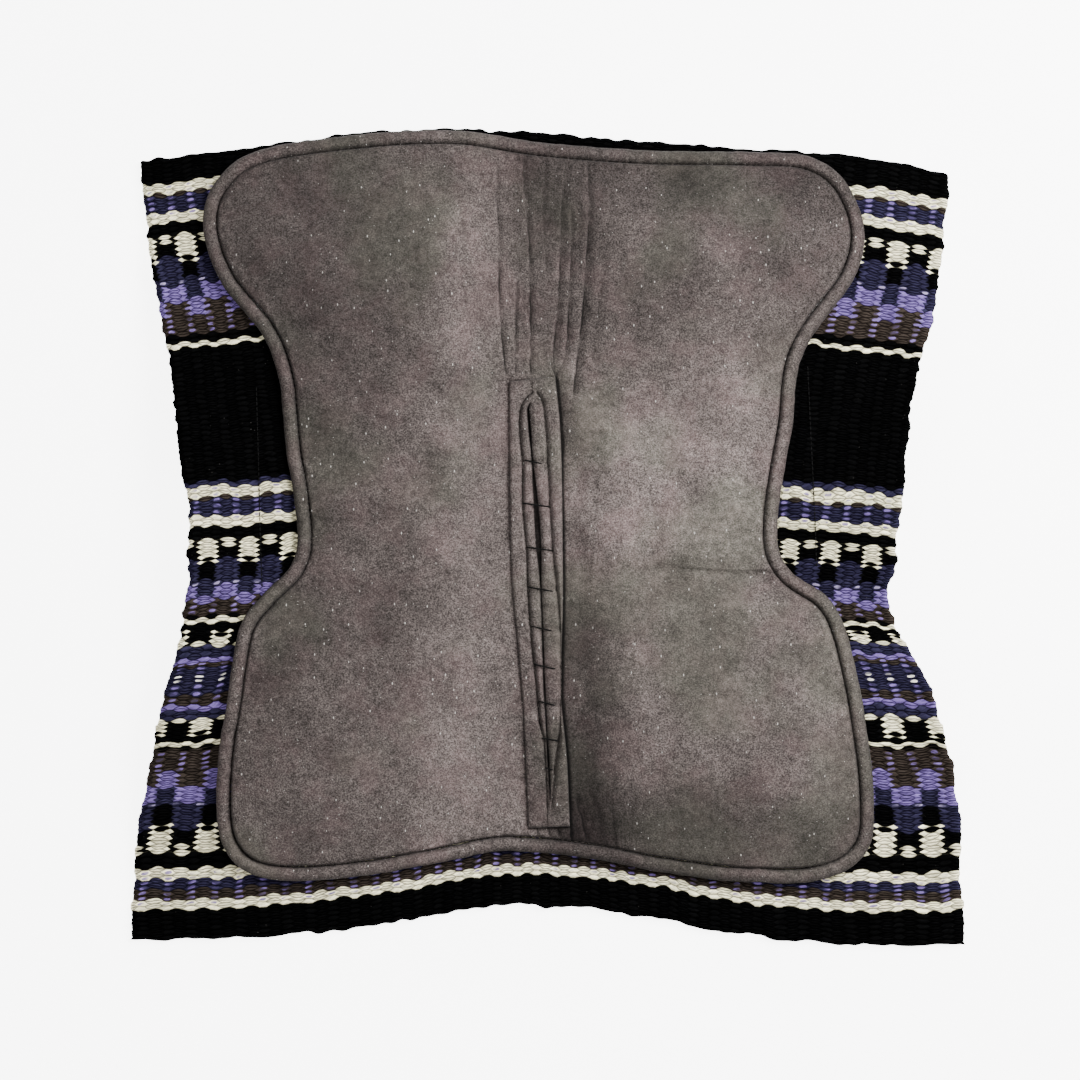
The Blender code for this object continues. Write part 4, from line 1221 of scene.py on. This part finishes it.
def wool_material():
    """Weft floats that lie over each other like lenses, of twisted and slightly hairy yarn."""
    s = Shader("woven_wool")
    place, weave = s.attribute("place"), s.attribute("weave")
    even, outer, inner, tick = (
        s.attribute(name, "Color") for name in ("even_wool", "outer_wool", "inner_wool", "tick_wool")
    )
    column, pick = (s.add("SeparateXYZ", {0: weave}, axis) for axis in ("X", "Y"))
    pick = s.plus(pick, s.times(s.minus(s.noise(place, 260, 2), 0.5), 0.22))
    column = s.plus(column, s.times(s.minus(s.noise(place, 120, 1), 0.5), 0.3))

    # Lenses of the even lines' floats, and the wools between them
    over, apart = s.math("PINGPONG", pick, 0.5), s.math("PINGPONG", column, 1.0)
    squared = s.math("POWER", s.math("DIVIDE", apart, LENS_REACH), 2.0)
    gap = s.minus(over, s.times(s.math("SUBTRACT", 1.0, squared, clamp=True), 0.5))
    inward = s.minus(s.math("PINGPONG", column, 2.0), 1.0 - TIP_REACH)
    tip = s.minus(inward, s.minus(0.5, over))
    odd_wool = s.mix(s.span(tip, -0.05, 0.05), outer, inner)
    across = s.math("DIVIDE", s.minus(1.0, apart), TICK_HALF_WIDTH)
    slant = s.times(s.minus(s.math("FRACT", s.times(column, 0.5)), 0.5), 0.5)
    rise = s.plus(s.minus(s.math("FRACT", pick), 0.5), slant)
    rise = s.math("DIVIDE", rise, TICK_HALF_HEIGHT)
    far = s.plus(s.times(across, across), s.times(rise, rise))
    kept = s.span(s.noise(s.stretched(weave, (0.8, 1.3, 1.0)), 1.0, 1), 0.42, 0.58, 0.12, 0.90)
    there = s.times(s.span(far, 0.75, 1.15, 1.0, 0.0), s.attribute("tick_wool", "Alpha"), kept)
    colour = s.mix(s.span(gap, -0.03, 0.03), even, s.mix(there, odd_wool, tick))

    # Painted shade between the floats, with the yarn's strands and hairs
    near_edge = s.math("MINIMUM", s.math("ABSOLUTE", gap), over)
    tone = s.noise(s.stretched(weave, (0.5, 1.0, 1.0)), 1.3, 1)
    turned = s.stretched(weave, (1.0, 1.0, 1.0), 0.75)
    strands = s.noise(s.stretched(turned, (0.9, 3.4, 1.0)), 1.0, 3, 0.65)
    hairs = s.noise(s.stretched(place, (0.35, 1.0, 1.0)), 1500, 2, 0.7)
    colour = s.shaded(colour, s.times(
        s.span(near_edge, 0.0, 0.19, 0.16, 1.0),
        s.span(tone, 0.3, 0.7, 0.72, 1.15),
        s.span(strands, 0.32, 0.68, 0.55, 1.25, False),
        s.span(hairs, 0.25, 0.75, 0.84, 1.14, False),
        s.span(s.noise(place, 24, 2), 0.3, 0.7, 0.88, 1.1, False),
    ))
    flecks = s.times(s.scattered(place, 170, 0.04, 0.09, 1.0, 40, 0.56, 0.64), 0.22)
    colour = s.mix(flecks, colour, FLECK)
    height = s.plus(s.span(near_edge, 0.0, 0.25), s.times(strands, 0.55))
    normal = s.relief(hairs, 0.35, 0.0004, s.relief(height, 0.55, 0.0009))
    return s.finish(colour, normal, 0.95, specular=0.0)


def felt_material(name, lightness):
    """Pressed wool of mixed grey, brown and purple fibres, with pale lint and a few dark burrs."""
    s = Shader(name)
    place, painted = s.attribute("place"), s.attribute("shade", "Fac")
    wide = s.noise(place, 8.5, 2, 0.5)
    blotch = s.noise(place, 26, 3, 0.6)
    cloud = s.noise(place, 130, 3, 0.65)
    heather = s.noise(place, 620, 3, 0.8)
    fibre = s.noise(s.stretched(place, (0.35, 1.0, 1.0), 0.6), 1300, 2, 0.7)
    cross = s.noise(s.stretched(place, (1.0, 0.35, 1.0), 0.5), 1300, 2, 0.7)
    colour = s.mix(s.span(heather, 0.38, 0.62), FELT_DARK, FELT_LIGHT)
    colour = s.mix(s.times(s.span(blotch, 0.42, 0.66), 0.34), colour, FELT_BROWN)
    colour = s.mix(s.times(s.span(wide, 0.48, 0.66), 0.45), colour, FELT_GREEN)
    # The stored shade, times this lightness, is the painted light and shade
    colour = s.shaded(colour, s.times(
        s.span(cloud, 0.28, 0.72, 0.66, 1.34, False),
        s.span(blotch, 0.25, 0.75, 0.88, 1.12, False),
        s.span(fibre, 0.30, 0.70, 0.62, 1.38, False),
        s.span(cross, 0.30, 0.70, 0.78, 1.22, False),
        s.times(painted, lightness),
    ))

    lengthways = s.stretched(place, (1.0, 0.40, 1.0), 0.8)
    crossways = s.stretched(place, (0.5, 1.0, 1.0), 0.4)
    bits = s.scattered(lengthways, 150, 0.045, 0.10, 1.0, 60, 0.44, 0.50)
    specks = s.scattered(crossways, 260, 0.05, 0.10, 0.8, 90, 0.50, 0.56)
    # Lint shows less where the painted shade is dark
    lint = s.times(s.math("MAXIMUM", bits, specks), s.span(painted, 0.1, 0.6), 0.75)
    colour = s.mix(lint, colour, LINT)
    burrs = s.times(s.scattered(place, 75, 0.02, 0.05, 1.0, 33, 0.54, 0.60), 0.7)
    colour = s.mix(burrs, colour, BURR)
    height = s.plus(heather, s.times(s.plus(fibre, cross), 0.35))
    normal = s.relief(cloud, 0.45, 0.002, s.relief(height, 0.5, 0.0009))
    return s.finish(colour, normal, 0.96, 0.03, (0.95, 0.92, 0.92), 0.05)


def thread_material(name, dark, light):
    s = Shader(name)
    place = s.attribute("place")
    twist = s.noise(place, 700, 1)
    colour = s.mix(s.span(twist, 0.3, 0.7), dark, light)
    normal = s.relief(s.plus(s.noise(place, 2600, 2), twist), 0.6, 0.0004)
    return s.finish(colour, normal, 0.85, specular=0.1)


def leather_material():
    s = Shader("wear_leather")
    place = s.attribute("place")
    grain = s.cells(place, 900, "DISTANCE_TO_EDGE")
    pores = s.noise(place, 2400, 2)
    tone = s.noise(place, 30, 3)
    colour = s.mix(s.span(tone, 0.3, 0.7), (0.048, 0.0183, 0.0090), (0.084, 0.0340, 0.0158))
    colour = s.mix(s.times(s.span(grain, 0.0, 0.12, 1.0, 0.0), 0.5), colour, (0.018, 0.0075, 0.004))
    normal = s.relief(s.plus(s.span(grain, 0.0, 0.2), s.times(pores, 0.4)), 0.5, 0.0003)
    return s.finish(colour, normal, s.span(tone, 0.2, 0.8, 0.42, 0.62, False), specular=0.5)


def padding_material():
    s = Shader("fibre_padding")
    place = s.attribute("place")
    tufts = s.noise(place, 140, 4, 0.7)
    colour = s.mix(s.span(tufts, 0.3, 0.7), (0.36, 0.35, 0.33), (0.58, 0.57, 0.54))
    normal = s.relief(s.plus(tufts, s.noise(place, 1200, 2)), 0.6, 0.001)
    return s.finish(colour, normal, 0.95, 0.2)


def floor_material():
    s = Shader("pale_floor")
    place = s.add("TexCoord", {}, "Object")
    colour = s.mix(s.span(s.noise(place, 3, 2), 0.3, 0.7), (0.86, 0.86, 0.86), (0.88, 0.88, 0.88))
    s.put((1.0, 1.0, 1.0, 1.0), s.surface.inputs["Emission Color"])
    s.put(FLOOR_GLOW, s.surface.inputs["Emission Strength"])
    return s.finish(colour, None, 0.9)


# The part


def dress(piece, material, slot, *nodes):
    piece.data.materials.append(material)
    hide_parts(*nodes)


def over_spine(piece):
    """The piece's placement is baked into its mesh."""
    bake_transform(piece)


felt = felt_material("pressed_felt", 0.90)
thread = thread_material("felt_thread", (0.010, 0.008, 0.007), (0.036, 0.030, 0.027))
black_thread = thread_material("black_thread", (0.001, 0.001, 0.001), (0.004, 0.004, 0.004))
leather, padding = leather_material(), padding_material()

blanket, lining, roll, band = woven_blanket(), felt_lining(), felt_edge_roll(), spine_band()
lining_stitches, slit_stitches, tacks = edge_stitching(), slit_stitching(), slit_tacks()
for piece, material, slot, node in (
    (blanket, wool_material(), "blanket_wool", "woven_blanket"),
    (lining, felt, "felt", "felt_lining"),
    (roll, felt, "felt", "felt_edge_roll"),
    (band, felt_material("band_felt", 0.83), "felt", "spine_band"),
    (lining_stitches, thread, "thread", "edge_stitching"),
    (slit_stitches, thread, "thread", "slit_stitching"),
    (tacks, black_thread, "thread", "slit_tacks"),
):
    dress(piece, material, slot, f"{node}_left", f"{node}_right")
    over_spine(piece)

for side_name, side in (("left", -1), ("right", 1)):
    wing = f"{side_name}_wing"
    core = padding_core(f"padding_{side_name}", side)
    dress(core, padding, "padding", f"padding_core_{side_name}")
    if side < 0:
        over_spine(core)
    else:
        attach(core, wing)
    panel = wear_leather(f"wear_leather_panel_{side_name}", side)
    dress(panel, leather, "leather", f"wear_leather_{side_name}")
    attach(panel, wing)
    seam = leather_stitching(f"leather_stitches_{side_name}", side)
    dress(seam, black_thread, "thread", f"leather_stitching_{side_name}")
    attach(seam, wing)


# Camera, light and floor


def studio():
    def show(name, data):
        thing = bpy.data.objects.new(name, data)
        bpy.context.scene.collection.objects.link(thing)
        return thing

    floor = bpy.data.meshes.new("studio_floor")
    corners = ((-1, -1), (1, -1), (1, 1), (-1, 1))
    places = [(x * FLOOR_REACH, y * FLOOR_REACH, FLOOR_LEVEL) for x, y in corners]
    floor.from_pydata(places, [], [(0, 1, 2, 3)])
    floor.materials.append(floor_material())
    show("studio_floor", floor)

    lens = bpy.data.cameras.new("photo_view")
    lens.sensor_width = SENSOR * 1000
    lens.lens = SENSOR * 1000 * VIEW_DISTANCE / (FRAME_PIXELS * PIXEL)
    camera = show("photo_view", lens)
    turn = Matrix((VIEW_RIGHT, VIEW_UP, -VIEW_FORWARD)).transposed().to_4x4()
    camera.matrix_world = Matrix.Translation(Vector(EYE + SHIFT)) @ turn
    bpy.context.scene.camera = camera

    for name, place, size, power in LAMPS:
        lamp = bpy.data.lights.new(name, "AREA")
        lamp.shape = "DISK"
        lamp.size = size
        lamp.energy = power
        holder = show(name, lamp)
        holder.location = place
        holder.rotation_euler = (-Vector(place)).to_track_quat("-Z", "Y").to_euler()

    world = bpy.data.worlds.new("studio")
    world.use_nodes = True
    sky = world.node_tree.nodes["Background"]
    sky.inputs["Color"].default_value = (1.0, 1.0, 1.0, 1.0)
    sky.inputs["Strength"].default_value = SKY_STRENGTH
    bpy.context.scene.world = world


studio()
